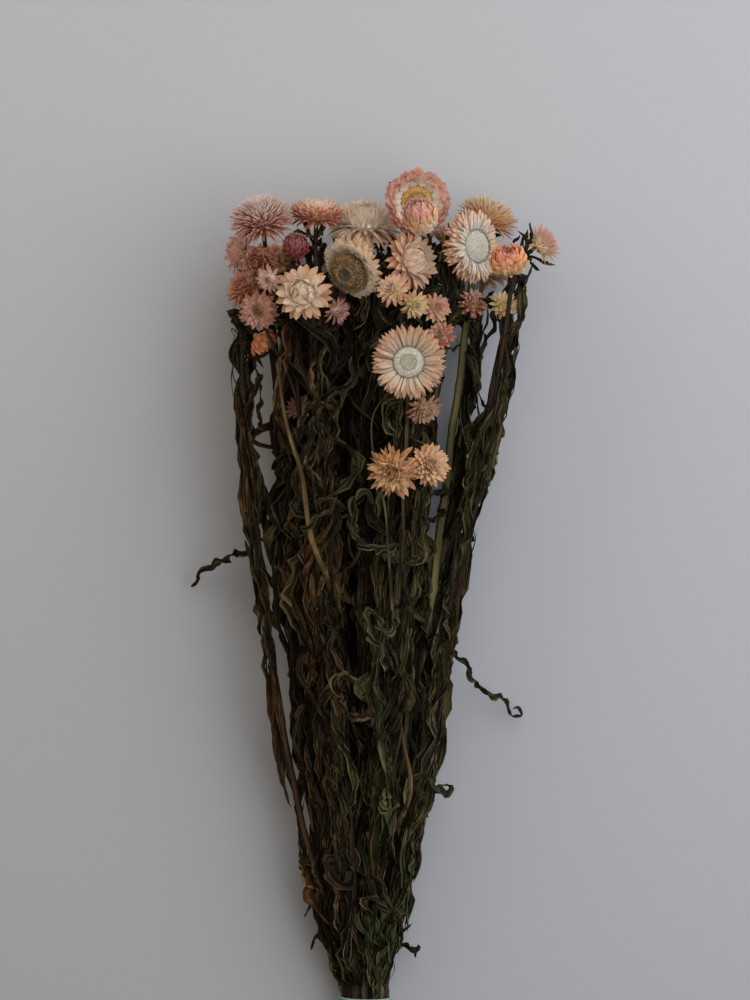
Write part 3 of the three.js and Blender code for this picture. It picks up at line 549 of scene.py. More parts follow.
def add_bracts(shell, one, habit, count, breadth, random, thickness, finish, wild=1.0):
    """Bracts by the golden angle.

    In the plane through the head's axis a bract leaves its root at its slope, which turns evenly to that
    of its tip, so radius and height are the sums of cos and sin of the slope along its length. It is
    hollow towards the axis, and leans, rolls and varies a little.
    """
    def rough(amount):
        return wild * amount * random.uniform(-1, 1, count)

    def out(start, part):
        return np.concatenate([start[:, None], start[:, None] + np.cumsum(step * part, 1)], 1)

    root_r, root_h = (over(count, [root[k] for root in habit["root"]]) for k in (0, 1))
    slope = np.radians(over(count, habit["slope"]) + rough(6))[:, None]
    tip = np.radians(over(count, habit["tip"]) + rough(11))[:, None]
    length = over(count, habit["length"]) * (1 + rough(0.08))
    width = over(count, habit["width"]) * breadth * (1 + rough(0.12))
    turned = GOLDEN_ANGLE * np.arange(count)
    scant_at, scant = one["scant"]
    missing = scant * (0.5 + 0.5 * np.cos(turned - math.radians(scant_at))) ** 2
    length = length * (1 - missing)
    u = np.linspace(0, 1, BRACT_STATIONS)[None]
    angle = slope + (tip - slope) * u**1.2
    mid = (angle[:, 1:] + angle[:, :-1]) / 2
    step = length[:, None] / (BRACT_STATIONS - 1)
    r, h = out(root_r, np.cos(mid)), out(root_h, np.sin(mid))
    a = (turned + rough(0.09))[:, None]
    zero = np.zeros_like(a * u)
    away = np.stack([np.cos(a) + zero, np.sin(a) + zero, zero], -1)
    around = np.stack([-np.sin(a) + zero, np.cos(a) + zero, zero], -1)
    axis = np.array([0, 0, 1.0])
    lean = (rough(0.09) * length)[:, None] * u**2
    middle = r[..., None] * away + h[..., None] * axis + lean[..., None] * around
    face = -np.sin(angle)[..., None] * away + np.cos(angle)[..., None] * axis
    across, face = rolled(around, face, rough(0.25)[:, None] * u)
    power = math.log(0.5) / math.log(habit["widest"])
    half = width[:, None] / 2 * np.sin(math.pi * u**power).clip(0) ** habit["blunt"]
    half[:, 1] = np.maximum(half[:, 1], 0.3 * width)
    waves = random.uniform(0, 2 * math.pi, (2, count, 1))
    ruffle = 0.14 * wild * np.stack([np.sin(9 * u + wave) for wave in waves], -1)
    cup = habit["cup"] * (1 + rough(0.4))[:, None] * (0.6 + 0.6 * u)
    rank = np.maximum((np.arange(count) + 0.5) / count, (1.5 * missing).clip(0, 1))
    add_blades(
        shell, BRACT_SECTION, turned_to(middle, one), vectors_to(across, one), vectors_to(face, one),
        one["radius"] * half, cup, ruffle, thickness, rank, random.random(count), finish)


# The scales under every head, and what differs under a bud: how far out and down they are rooted, and their
# slope all along.
CALYX = dict(
    root=[(0.3, -0.1), (0.28, -0.16), (0.25, -0.22), (0.2, -0.28), (0.14, -0.34)],
    slope=[10, 16, 24, 34, 44], tip=[-6, 10, 22, 40, 60],
    length=[0.42, 0.36, 0.3, 0.26, 0.22], width=[0.16, 0.16, 0.15, 0.14, 0.12],
    widest=0.45, blunt=0.6, cup=0.3)
CALYX_SCALES, CALYX_BREADTH = 18, 1.2
BUD_OUT, BUD_DOWN, BUD_SLOPE = 0.3, 0.36, [70, 64, 58, 52, 50]

# The fringe of bristles round a seeded disc.
BRISTLES = dict(
    root=[(0.3, 0.3), (0.38, 0.26), (0.44, 0.18), (0.47, 0.1), (0.48, 0.06)],
    slope=[88, 78, 64, 46, 24], tip=[100, 96, 88, 70, 30],
    length=[0.18, 0.24, 0.27, 0.25, 0.22], width=[0.026] * 5, widest=0.4, blunt=0.8, cup=0.0)
BRISTLE_COUNT, BRISTLE_THICKNESS, BRISTLE_WILD = 460, 0.2, 2.4

# Looks whose bracts stand less tidily than the others', by this much.
WILD = {"tawny": 3.2, "umber": 2.2}


def build_head(name, one, number, settings):
    """A head: its firm heart and calyx down to the stem, with all its bracts round it."""
    random = np.random.default_rng(HEAD_SEED + number)
    habit = HABITS[one["habit"]]
    shell = Shell()
    heart = HEARTS[one["habit"]]
    seat = one["seat"]
    profile = [(0.2, -0.05), (0.2, -0.14), (0.16, 0.6 * seat - 0.1), (0.13, seat + 0.03), (0.12, seat)]
    add_turned(shell, one, heart, HEART_SIDES, 0.4, PETAL, heart[0][1] + 0.03, heart[-1][1], 0.3)
    add_turned(shell, one, profile, NECK_SIDES, 0.5, CHAFF, profile[0][1], seat)
    count = round(one["bracts"] * settings.fullness)
    thickness = settings.bract_thickness * MM
    wild = WILD.get(one["look"], 1.0)
    add_bracts(shell, one, habit, count, one["breadth"], random, thickness, PETAL, wild)
    calyx = dict(CALYX)
    if one["habit"] == "bud":
        calyx["root"] = [(r + BUD_OUT, h - BUD_DOWN) for r, h in CALYX["root"]]
        calyx["tip"] = calyx["slope"] = BUD_SLOPE
    add_bracts(shell, one, calyx, CALYX_SCALES, CALYX_BREADTH, random, thickness, SCALE)
    if shell.lowest() < HEAD_GAP or name.endswith("_under"):
        shell.raised(HEAD_GAP - shell.lowest())
    return shell


# ---- Discs ----


def build_disc(disc, settings):
    """A low dome closely set with florets, each a small peak, by the golden angle. On a seeded head a
    fringe of bristles stands round it."""
    head_name, share, height, finish = disc
    one = HEADS[head_name]
    random = np.random.default_rng(HEAD_SEED * 3 + len(finish))
    shell = Shell()
    rim = max(0.36, share)
    base, top = 0.02 + CLEARANCE / one["radius"], 0.02 + height

    def dome(r):
        """The disc's height at a radius: it falls away towards the rim and dips in the middle."""
        dip = 0.3 * height * np.exp(-((3 * r / rim) ** 2))
        return base + (top - base) * (1 - 0.9 * (r / rim) ** 3.2) - dip

    r = np.linspace(0.12, 1, 9) * rim
    profile = [(q, dome(q)) for q in r] + [(0.9 * rim, base - 0.01), (0.5 * rim, base - 0.01)]
    # The dome's body takes shade 0.8, which its finish darkens: painted shade where it lies between the
    # florets.
    add_turned(shell, one, profile, DISC_SIDES, 0.8, 0, dome(0.0), base - 0.01, 0.0)
    count = settings.florets
    k = np.arange(count) + 0.5
    share_out = np.sqrt(k / count)
    reach = 0.97 * rim * share_out
    a = GOLDEN_ANGLE * k
    foot = np.stack([reach * np.cos(a), reach * np.sin(a), dome(reach)], -1)
    size = 0.9 * rim / math.sqrt(count) * (1 + 0.25 * random.uniform(-1, 1, count))
    lean = np.stack([np.cos(a), np.sin(a), 0 * a], -1) * (0.9 * share_out**2)[:, None]
    peak = unit(np.array([0, 0, 1.0]) + lean + 0.25 * random.normal(size=(count, 3)))
    tall = size * (3.0 if finish == "seeded" else 0.9) * (1 + 0.3 * random.uniform(-1, 1, count))
    turn = 2 * math.pi * np.arange(FLORET_SIDES) / FLORET_SIDES
    side = unit(np.cross(peak, [1.0, 0.1, 0]))
    other = np.cross(peak, side)
    ring = np.cos(turn)[:, None] * side[:, None] + np.sin(turn)[:, None] * other[:, None]
    rings = np.stack([
        foot[:, None] + ring * size[:, None, None],
        (foot + 0.6 * peak * tall[:, None])[:, None] + ring * (0.8 * size)[:, None, None],
    ], 1)
    ends = np.stack([foot - peak * (0.4 * tall)[:, None], foot + peak * tall[:, None]], 1)
    along = np.array([0, 1.0])[None, :, None]
    growth = (along, 0.5, share_out[:, None, None], random.random(count)[:, None, None])
    shell.add(turned_to(rings, one), turned_to(ends, one), growth)
    if finish == "seeded":
        even = {**one, "scant": (0, 0)}
        add_bracts(shell, even, BRISTLES, BRISTLE_COUNT, 1.0, random, BRISTLE_THICKNESS, 0, BRISTLE_WILD)
    return shell


# ---- Stems and leaves ----

STEM_SIDES, STEM_RIDGE, STEM_WANDER = 10, 0.07, 0.35
NODE_PITCH, NODE_LENGTH, NODE_SWELL = 23.0, 1.6, 0.16

# How much round a head leaves keep clear of, as shares of its radius: seen from above, down from its middle,
# and as a ball.
HEAD_COVER, HEAD_DEPTH, HEAD_BALL = 1.02, 0.35, 0.8

# The share of a leaf's half width that has to be in the bunch, and the gap that it leaves beside bare stems.
LEAF_EDGE, BARE_GAP = 0.6, 1.5

# Leaves that are tried for each that is kept, and the stalks beside a stem.
TRIES = 6
STALKS = 5

# The small leaves under the head on a stem's tip and under the others: how many, and their size.
TIP_COLLAR, SIDE_COLLAR = (14, 1.6), (6, 1.0)

# Runs of leaves along a stem, up to its head, and on a side branch: one for how many of the stem's own, the
# stretch that they are rooted on, how far they stand off, their size, and how far they sag.
LONG_RUN = 1, (0.16, 0.95), 1.0, 1.0, 0
TOP_RUN = 3, (0.74, 0.98), 1.6, 0.6, 45
SIDE_RUN = 7, (0.1, 0.95), 0.9, 0.5, 20


def slot_point(slot, y, spread=1.0):
    """The middle of a stem at its column and row in the tie, or in the spread cut ends."""
    column, row = slot
    rise = (1 + spread) / 2 if spread > 1 else 1
    height = TIE_HEIGHT + row * ROW_RISE * STEM_PITCH * rise
    return np.array([TIE_X + column * STEM_PITCH * spread, y, height])


def seat_of(one):
    """The flat underside of a head, where its stem ends."""
    return one["at"] + one["faces"] * (one["radius"] * one["seat"] - CLEARANCE)


def bezier(a, b, c, d, steps):
    """Points at even steps of a cubic curve."""
    t = np.linspace(0, 1, steps + 1)[:, None]
    return (1 - t) ** 3 * a + 3 * (1 - t) ** 2 * t * b + 3 * (1 - t) * t * t * c + t**3 * d


def main_path(slot, tip, steps):
    """A stem runs straight through the tie, then fans out in one bend to the neck of its head."""
    one = HEADS[tip]
    seat = seat_of(one)
    neck = seat - one["faces"] * NECK_LENGTH
    start = slot_point(slot, TIE_WIDTH)
    skew = FAN_SKEW * float(np.clip(neck[0] / FAN_REACH, -1, 1))

    def between(fan):
        spread, rise = fan
        point = start + (neck - start) * (spread - skew * (1 - rise))
        point[1] = start[1] + (neck[1] - start[1]) * rise
        return point

    upper = between(FAN_UPPER) - one["faces"] * NECK_BEND
    bend = bezier(start, between(FAN_LOWER), upper, neck, steps)
    tail = slot_point(slot, -TIE_WIDTH - TAIL_LENGTH, TAIL_SPREAD)
    return np.concatenate([[tail], [slot_point(slot, -TIE_WIDTH)], bend, [seat]])


def point_at(path, share):
    """The point at a share of a path's steps."""
    at = (len(path) - 1) * share
    index = min(int(at), len(path) - 2)
    return path[index] + (path[index + 1] - path[index]) * (at - index)


def side_path(rough, share, one, steps):
    """A side branch leaves its stem along it and comes up to its own head."""
    seat = seat_of(one)
    neck = seat - one["faces"] * SIDE_NECK_LENGTH
    root = point_at(rough, share)
    reach = np.linalg.norm(neck - root)
    along = unit(point_at(rough, share + 0.04) - root)
    rise = neck + (0, -SIDE_RISE * reach, 0) - one["faces"] * SIDE_LEAN * reach
    return np.concatenate([bezier(root, root + along * SIDE_START * reach, rise, neck, steps), [seat]])


def walked(run, gone, path):
    """The points of a path at distances along it, from the distance gone at each of its own."""
    return np.stack([np.interp(run, gone, path[:, k]) for k in range(3)], -1)


def evenly(path, spacing):
    """A path walked again in even steps, and its length."""
    gone = np.concatenate([[0], np.cumsum(np.linalg.norm(np.diff(path, axis=0), axis=1))])
    at = np.linspace(0, gone[-1], max(6, int(gone[-1] / spacing) + 1))
    return walked(at, gone, path), gone[-1]


def add_stem(shell, path, thick, thin, shade, random, finish=BARK, cut=False):
    """A ribbed stem that thins towards its head, a little crooked and swollen at its nodes. A cut end shows
    its pith on a flat face."""
    points, length = evenly(path, 3.2)
    at = np.linspace(0, length, len(points))
    free = np.clip(at / 40, 0, 1) * np.clip((length - at) / 20, 0, 1)
    wander = sum(
        random.uniform(-1, 1, 3) * np.sin(at[:, None] / reach + random.uniform(0, 6, 3))
        for reach in (9, 17, 31))
    points = points + STEM_WANDER * free[:, None] * wander
    nodes = np.exp(-(((at % NODE_PITCH) - NODE_PITCH / 2) / NODE_LENGTH) ** 2)
    radii = (thick + (thin - thick) * (at / length)) * (1 + NODE_SWELL * nodes)
    rings = tube_rings(points, radii, STEM_SIDES, STEM_RIDGE)
    rank = np.zeros((1, len(points), 1))
    if cut:
        rings = np.concatenate([0.9 * (rings[:1] - points[0]) + points[0], rings])
        rank = np.concatenate([np.ones((1, 1, 1)), rank], 1)
    ends = np.array([[points[0], points[-1]]])
    along = np.linspace(0, 1, rings.shape[0])[None, :, None]
    shell.add(rings[None], ends, (along, np.arange(STEM_SIDES) / STEM_SIDES, rank, shade), finish)


def within(rows, x, y):
    """Whether points lie in a shape of (y, left, right) rows."""
    left, right = (np.interp(y, rows[:, 0], rows[:, k]) for k in (1, 2))
    return (y > rows[0, 0]) & (y < rows[-1, 0]) & (x > left) & (x < right)


def clear_of_heads(points, own=None):
    """Whether leaves, as (leaves, stations, 3), neither pass through a head nor lie over it, apart from
    their own."""
    clear = np.ones(len(points), bool)
    for one in HEADS.values():
        if one is own:
            continue
        off = points - one["at"]
        flat = np.hypot(off[..., 0], off[..., 1])
        hides = (flat < HEAD_COVER * one["radius"]) & (off[..., 2] > -HEAD_DEPTH * one["radius"])
        inside = np.linalg.norm(off, axis=-1) < HEAD_BALL * one["radius"]
        clear &= ~(hides | inside).any(1)
    return clear


def may_stand(middle, half, bare, margin):
    """Whether leaves, as (leaves, stations, 3), stay in the bunch by a margin of their own, out of its
    openings, off its heads and off what stays bare."""
    x, y, z = np.moveaxis(middle, -1, 0)
    fits = (z - 0.9 * half > LEAF_GAP).all(1) & clear_of_heads(middle)
    for side in (-LEAF_EDGE, LEAF_EDGE):
        edge = x + side * half
        fits &= within(BUNCH, edge * (1 + margin[:, None]), y).all(1)
        for opening in OPENINGS:
            fits &= ~within(opening, edge, y).any(1)
    for track in bare:
        gap = np.hypot(x[..., None] - track[:, 0], y[..., None] - track[:, 1])
        near = gap.argmin(-1)
        over_it = (gap.min(-1) < BARE_GAP + LEAF_EDGE * half) & (z > track[near, 2] - 1)
        fits &= ~over_it[:, 2:].any(1)
    return fits


def standing_off(tangent, root, swing):
    """Two directions square to a stem: away from the middle of the bunch, swung about the stem by an angle,
    and to its side."""
    over_middle = root[:, 2] - TIE_HEIGHT - 0.1 * root[:, 1]
    outward = np.stack([root[:, 0], 0 * root[:, 0], 1.6 * over_middle], -1)
    outward = unit(outward - (outward * tangent).sum(-1, keepdims=True) * tangent)
    sideways = np.cross(tangent, outward)
    away = np.cos(swing)[:, None] * outward + np.sin(swing)[:, None] * sideways
    return away, np.cross(tangent, away)


def add_leaves(shell, path, habit, count, stretch, spread, size, sag, random, settings, bare):
    """Dried leaves of one habit, rooted on a stretch of one stem.

    A leaf runs up or down beside the stem. At share u of its length it stands off by reach
    sin(0.8 π u)^0.7, sways to one side, and crinkles in waves both ways that grow from the root. It is
    folded along its rib, rolls about itself, its edges ruffle, and it may sag towards its tip. One that
    would leave the bunch, stand in an opening, or cover a head or a bare stem, is left out.
    """
    points, length = evenly(path, 2.0)
    tries = TRIES * count

    def draw(low, high):
        return random.uniform(low, high, tries)

    def wave(low, high):
        """A wave along each leaf, its pitch drawn between two lengths."""
        return np.sin(long[:, None] * u * 2 * math.pi / draw(low, high)[:, None] + draw(0, 6.3)[:, None])

    start = draw(*stretch) * length
    index = (start / length * (len(points) - 1)).astype(int).clip(0, len(points) - 1)
    root = points[index]
    room = (0.4 + root[:, 1] / 260).clip(0.5, 1)
    long = MM * size * draw(*habit["long"]) * settings.leaf_length * (0.6 + 0.4 * room)
    if sag:
        long = np.minimum(long, np.maximum(length - 4 - start, 14))
    upward = random.random(tries) < (0.85 if sag else 0.55)
    heading = np.where(upward & (start + long < length - 3), 1, -1)
    heading = np.where(start - long < 0.15 * length, 1, heading)
    u = np.linspace(0, 1, settings.leaf_stations)[None]
    run = (start[:, None] + (heading * long)[:, None] * u).clip(0, length - 1)
    tangent = unit(np.gradient(points, axis=0))[index]
    away, sideways = standing_off(tangent, root, draw(-2.2, 2.2))
    reach = ((draw(0, 1) ** 1.6 * np.ptp(habit["reach"]) + habit["reach"][0]) * spread * room)[:, None]
    sway = (draw(-1, 1) * habit["sway"] * spread * room)[:, None]
    grow = settings.crumple * habit["crinkle"] * (4 * u).clip(0, 1)
    out = reach * np.sin(0.8 * math.pi * u).clip(0) ** 0.7 + grow * (0.8 * wave(26, 60) + 0.3 * wave(11, 18))
    aside = sway * np.sin(1.6 * math.pi * u) + grow * (0.9 * wave(30, 60) + 0.35 * wave(12, 20))
    hook = (draw(-1, 1) ** 3 * habit["hook"])[:, None] * (u - 0.6).clip(0) ** 1.5
    out, aside = out + hook, aside + 0.8 * hook
    middle = walked(run, np.linspace(0, length, len(points)), points)
    middle = middle + out[..., None] * away[:, None] + aside[..., None] * sideways[:, None]
    middle[..., 2] -= sag * draw(0.2, 1.0)[:, None] * u
    wide = MM * draw(*habit["wide"]) * settings.leaf_width * (0.5 + 0.5 * room)
    half = wide[:, None] / 2 * np.sin(math.pi * u**0.8).clip(0) ** 0.6 * (1 + 0.2 * wave(12, 26))
    keep = np.flatnonzero(may_stand(middle, half, bare, draw(-0.07, 0.03)))[:count]
    turn = away + np.array([0, 0, 1.0]) * np.sign(away[:, 2:]) * 0.8
    roll = draw(-1.2, 1.2)[:, None] + draw(-1, 1)[:, None] * habit["roll"] * u + 0.4 * wave(30, 60)
    across, face = frames_along(middle, turn[:, None], roll)
    fold = draw(-0.6, 1.5)[:, None] * (0.7 + 0.5 * np.abs(wave(18, 40)))
    ruffle = 0.4 * settings.crumple * np.stack([wave(9, 15), wave(9, 15)], -1)
    rank = (habit["pale"] * draw(0, 1) ** 0.8).clip(0, 1)
    shade = random.random(tries)
    thickness = 0.3 + 0.2 * min(1, habit["wide"][1])
    add_blades(
        shell, LEAF_SECTION, middle[keep], across[keep], face[keep], half[keep], fold[keep], ruffle[keep],
        thickness, rank[keep], shade[keep], LEAF)


def add_stalks(shell, path, spread, random, bare):
    """Bare stalks that run beside a stem: each follows it at a distance that swells and fades along the
    stalk, sin(π u)^0.5, while it turns slowly about it."""
    points, length = evenly(path, 4.0)
    u = np.linspace(0, 1, 40)
    tangent = unit(np.gradient(points, axis=0))
    made = 0
    for _ in range(TRIES * STALKS):
        start = random.uniform(0.16, 0.5) * length
        long = random.uniform(0.22, 0.5) * length
        off = random.uniform(2, 8) * spread
        turn = random.uniform(-2.4, 2.4)
        radius = random.uniform(0.55, 1.25)
        along = walked(start + long * u, np.linspace(0, length, len(points)), points)
        heading = tangent[int(start / length * (len(points) - 1))]
        away, sideways = standing_off(heading[None], along[:1], np.array([turn]))
        lean = np.sin(math.pi * u) ** 0.5 * off
        swing = 0.9 * np.sin(2.2 * u + turn)
        stalk = along + (lean * np.cos(swing))[:, None] * away + (lean * np.sin(swing))[:, None] * sideways
        half = np.full((1, len(u)), radius)
        if may_stand(stalk[None], half, bare, np.array([0.0]))[0]:
            add_stem(shell, stalk, radius, 0.8 * radius, random.random(), random)
            made += 1
        if made == STALKS:
            break


def smooth_path(knots, steps):
    """A curve through knots, by cubic pieces whose slope at a knot is half the step between its
    neighbours."""
    knots = np.array(knots, float)
    slope = np.gradient(knots, axis=0)
    pieces = [
        bezier(knots[k], knots[k] + slope[k] / 3, knots[k + 1] - slope[k + 1] / 3, knots[k + 1], steps)[:-1]
        for k in range(len(knots) - 1)
    ]
    return np.concatenate([*pieces, knots[-1:]])


def add_single_leaf(shell, rough, leaf, random):
    """A long shrivelled leaf that stands out from the bunch, twisted like a rope, its tip in a loop or
    hanging."""
    share, width, points, looped, pale = (*leaf, USUAL_PALE)[:5]
    path = smooth_path([point_at(rough, share), *points], 12)
    if looped:
        a = np.linspace(-0.5, 1.3, 16)[1:, None] * math.pi
        size = 0.62 * width
        ring = np.concatenate([looped * size * (1 + np.sin(a)), -size * np.cos(a), 0.5 * a], 1)
        path = np.concatenate([path, path[-1] + ring - ring[0] + (0, 0, 0.2)])
    path, length = evenly(path, 1.4)
    u = np.linspace(0, 1, len(path))
    at = u * length
    path = path + 0.5 * np.stack([np.sin(at / 2.1), np.sin(at / 2.7 + 1), np.sin(at / 1.9 + 2)], -1)
    path[:, 2] = np.maximum(path[:, 2], LEAF_GAP + 0.2 + 0.6 * width)
    turn = np.array([0, 0.3, 1.0])[None, None]
    roll = (random.uniform(-1, 1) + at / 8 + 0.8 * np.sin(at / 4))[None]
    across, face = frames_along(path[None], turn, roll)
    half = width / 2 * (0.62 + 0.3 * np.sin(at / 3.3) ** 2) * (np.sin(math.pi * u**0.7).clip(0) ** 0.35)
    ruffle = 0.45 * np.stack([np.sin(at / 1.3), np.sin(at / 1.1 + 2)], -1)[None]
    fold = 0.8 + 0.4 * np.sin(at / 6)
    add_blades(
        shell, LEAF_SECTION, path[None], across, face, half[None], fold[None], ruffle, 0.6,
        np.array([pale]), np.array([0.7 * pale + 0.2 * random.random()]), LEAF)


def add_collar(shell, one, count, size, random):
    """Narrow leaves that stand on the neck under a head."""
    seat = seat_of(one)
    w = np.linspace(0, 1, 8)[None]
    u = w[..., None]
    side = unit(np.cross(one["faces"], (0.3, 0.2, 1)))
    other = np.cross(one["faces"], side)
    a = (GOLDEN_ANGLE * np.arange(count) + random.uniform(0, 6))[:, None]
    away = np.cos(a) * side + np.sin(a) * other
    foot = seat - one["faces"] * random.uniform(2, 16 * size, (count, 1))
    long = size * random.uniform(9, 17, (count, 1, 1))
    droop = random.uniform(-0.5, 0.7, (count, 1, 1))
    middle = (
        foot[:, None] + away[:, None] * long * (0.15 * u + 0.5 * u * u)
        + one["faces"] * long * (0.75 * u - droop * u * u)
        + 0.7 * np.sin(7 * u + 6 * a[:, :, None]) * side)
    middle[..., 2] = np.maximum(middle[..., 2], 1.5)
    keep = ~((middle[:, :, 2] > one["at"][2] + 2) & (
        np.hypot(*(middle - one["at"])[..., :2].transpose(2, 0, 1)) < 0.8 * one["radius"])).any(1)
    keep &= clear_of_heads(middle, one)
    across, face = frames_along(middle, away[:, None], 2.2 * (w - 0.3) * np.sin(5 * a))
    half = 1.6 * size * np.sin(math.pi * w**0.8).clip(0) ** 0.6 * (0.8 + 0.4 * np.sin(9 * w + a))
    ruffle = 0.35 * np.stack([np.sin(14 * w + a), np.sin(12 * w + 2 * a)], -1)
    fold = np.full(half.shape, 0.8)
    add_blades(
        shell, LEAF_SECTION, middle[keep], across[keep], face[keep], half[keep], fold[keep], ruffle[keep],
        0.4, random.random(count)[keep], random.random(count)[keep], LEAF)


# Stretches of stem that stay bare to the light, as shares of a stem's steps.
BARE = {
    "stem_peach_high": (0.56, 0.86),
    "stem_peach_open": (0.6, 0.98),
    "stem_cream_wide": (0.41, 0.46),
    "stem_rose_drooping": (0.34, 0.42),
}

# Bare twigs with no head of their own: the stem that each leaves, at a share of its steps, and the points it
# then passes, with its radius at its foot and its finish.
TWIGS = {
    "stem_cream_front": [
        (0.56, [(-24, 240, 72), (-30, 255, 84), (-34, 269, 89), (-38.5, 299, 91), (-45, 321, 90),
                (-50, 346, 86), (-52, 362, 80)], 1.9, STRAW)],
    "stem_peach_open": [
        (0.58, [(8, 272, 92), (4, 296, 97), (0, 318, 99), (0.5, 332, 99), (6, 342, 98)], 0.95, BARK),
        (0.4, [(14, 106, 44), (20.5, 122, 70), (20.5, 136, 77), (18, 150, 77), (16, 162, 68)], 1.6,
         STRAW)],
}


def build_stem(name, settings, bare):
    """A leafy stem: the stem itself, its side branches, twigs and stalks, its leaves, and the small leaves
    under its heads."""
    slot, tip, sides, bark = STEMS[name]
    random = np.random.default_rng(LEAF_SEED + list(STEMS).index(name))
    shell = Shell()
    rough = main_path(slot, tip, BEND_STEPS)
    fine = main_path(slot, tip, 48)
    thick, thin = MM * settings.stem_radius, MM * settings.stem_top_radius
    stout = STOUT.get(name, 1.0)
    add_stem(shell, fine, stout * thick, stout * thin, random.random(), random, cut=True)
    branches = [side_path(rough, share, HEADS[head_name], 24) for head_name, share in sides]
    for branch in branches:
        add_stem(shell, branch, 0.48 * thick, 0.42 * thick, random.random(), random)
    for share, knots, radius, finish in TWIGS.get(name, []):
        twig = smooth_path([point_at(rough, share), *knots], 8)
        add_stem(shell, twig, radius, 0.4 * radius, 0.05, random, finish)
    full, spread = THIN_LEAVED.get(name, (1.0, 1.0))
    add_stalks(shell, fine, spread, random, bare)
    runs = [(fine, LONG_RUN, spread), (fine, TOP_RUN, 1.0), *((branch, SIDE_RUN, 1.0) for branch in branches)]
    for habit in LEAVES.values():
        count = round(settings.leaves * habit["part"] * full)
        for path, (one_in, stretch, off, size, sag), wider in runs:
            add_leaves(
                shell, path, habit, count // one_in, stretch, off * wider, size, sag, random, settings, bare)
    for leaf in SINGLE_LEAVES.get(name, []):
        add_single_leaf(shell, rough, leaf, random)
    add_collar(shell, HEADS[tip], *TIP_COLLAR, random)
    for head_name, _ in sides:
        add_collar(shell, HEADS[head_name], *SIDE_COLLAR, random)
    return shell


# ---- The tie ----

# Steps round one turn, sides of the cord, its gap inside the tie's solid, and how uneven its turns are.
TURN_STEPS, CORD_SIDES, CORD_GAP, CORD_UNEVEN = 72, 10, 0.02, 0.12


def build_tie(settings):
    """A soft cord wound round the stems, its turns side by side and a little uneven: each turn is a ring
    whose section is round, on a circle that lies against the stems."""
    shell = Shell()
    random = np.random.default_rng(TIE_SEED)
    turns = settings.tie_turns
    cord = TIE_WIDTH / turns / 2
    steps = TURN_STEPS * turns
    a = np.linspace(0, 2 * math.pi * turns, steps + 1)
    y = (np.linspace(0, 1, steps + 1) - 0.5) * (TIE_WIDTH - 2 * cord)
    r = TIE_HEIGHT - cord - CORD_GAP - CORD_UNEVEN * (1 + np.sin(5 * a + random.uniform(0, 6)))
    path = np.stack([TIE_X + r * np.sin(a), y, TIE_HEIGHT - r * np.cos(a)], -1)
    rings = tube_rings(path, np.full(len(path), cord), CORD_SIDES)
    along = np.linspace(0, 1, len(path))[None, :, None]
    shell.add(rings[None], path[[0, -1]][None], (along, np.arange(CORD_SIDES) / CORD_SIDES, 0.5, 0.5))
    return shell


# ---- Finishes ----


class Value:
    """A number on its way through a material. Sums and products of it add Math nodes."""

    def __init__(self, finish, socket):
        self.finish, self.socket = finish, socket

    def _worked(self, operation, *terms):
        return self.finish.node("ShaderNodeMath", {"operation": operation}, dict(enumerate(terms)))

    def __add__(self, other):
        return self._worked("ADD", self, other)

    def __sub__(self, other):
        return self._worked("SUBTRACT", self, other)

    def __rsub__(self, other):
        return self._worked("SUBTRACT", other, self)

    def __mul__(self, other):
        return self._worked("MULTIPLY", self, other)

    __radd__, __rmul__ = __add__, __mul__

    def wave(self):
        """Its sine."""
        return self._worked("SINE", self)

    def size(self):
        """Itself without its sign."""
        return self._worked("ABSOLUTE", self)

    def step(self, low, high):
        """0 below low, 1 above high, smooth between."""
        return self.finish.node(
            "ShaderNodeMapRange", {"interpolation_type": "SMOOTHSTEP", "clamp": True},
            {"Value": self, "From Min": low, "From Max": high, "To Min": 0.0, "To Max": 1.0}, "Result")


def shade_of(code):
    """A colour as linear numbers, from its six hex digits."""
    parts = [int(code[k:k + 2], 16) / 255 for k in (0, 2, 4)]
    return tuple(c / 12.92 if c <= 0.04045 else ((c + 0.055) / 1.055) ** 2.4 for c in parts) + (1.0,)


NOISE_ROUGHNESS = 0.55


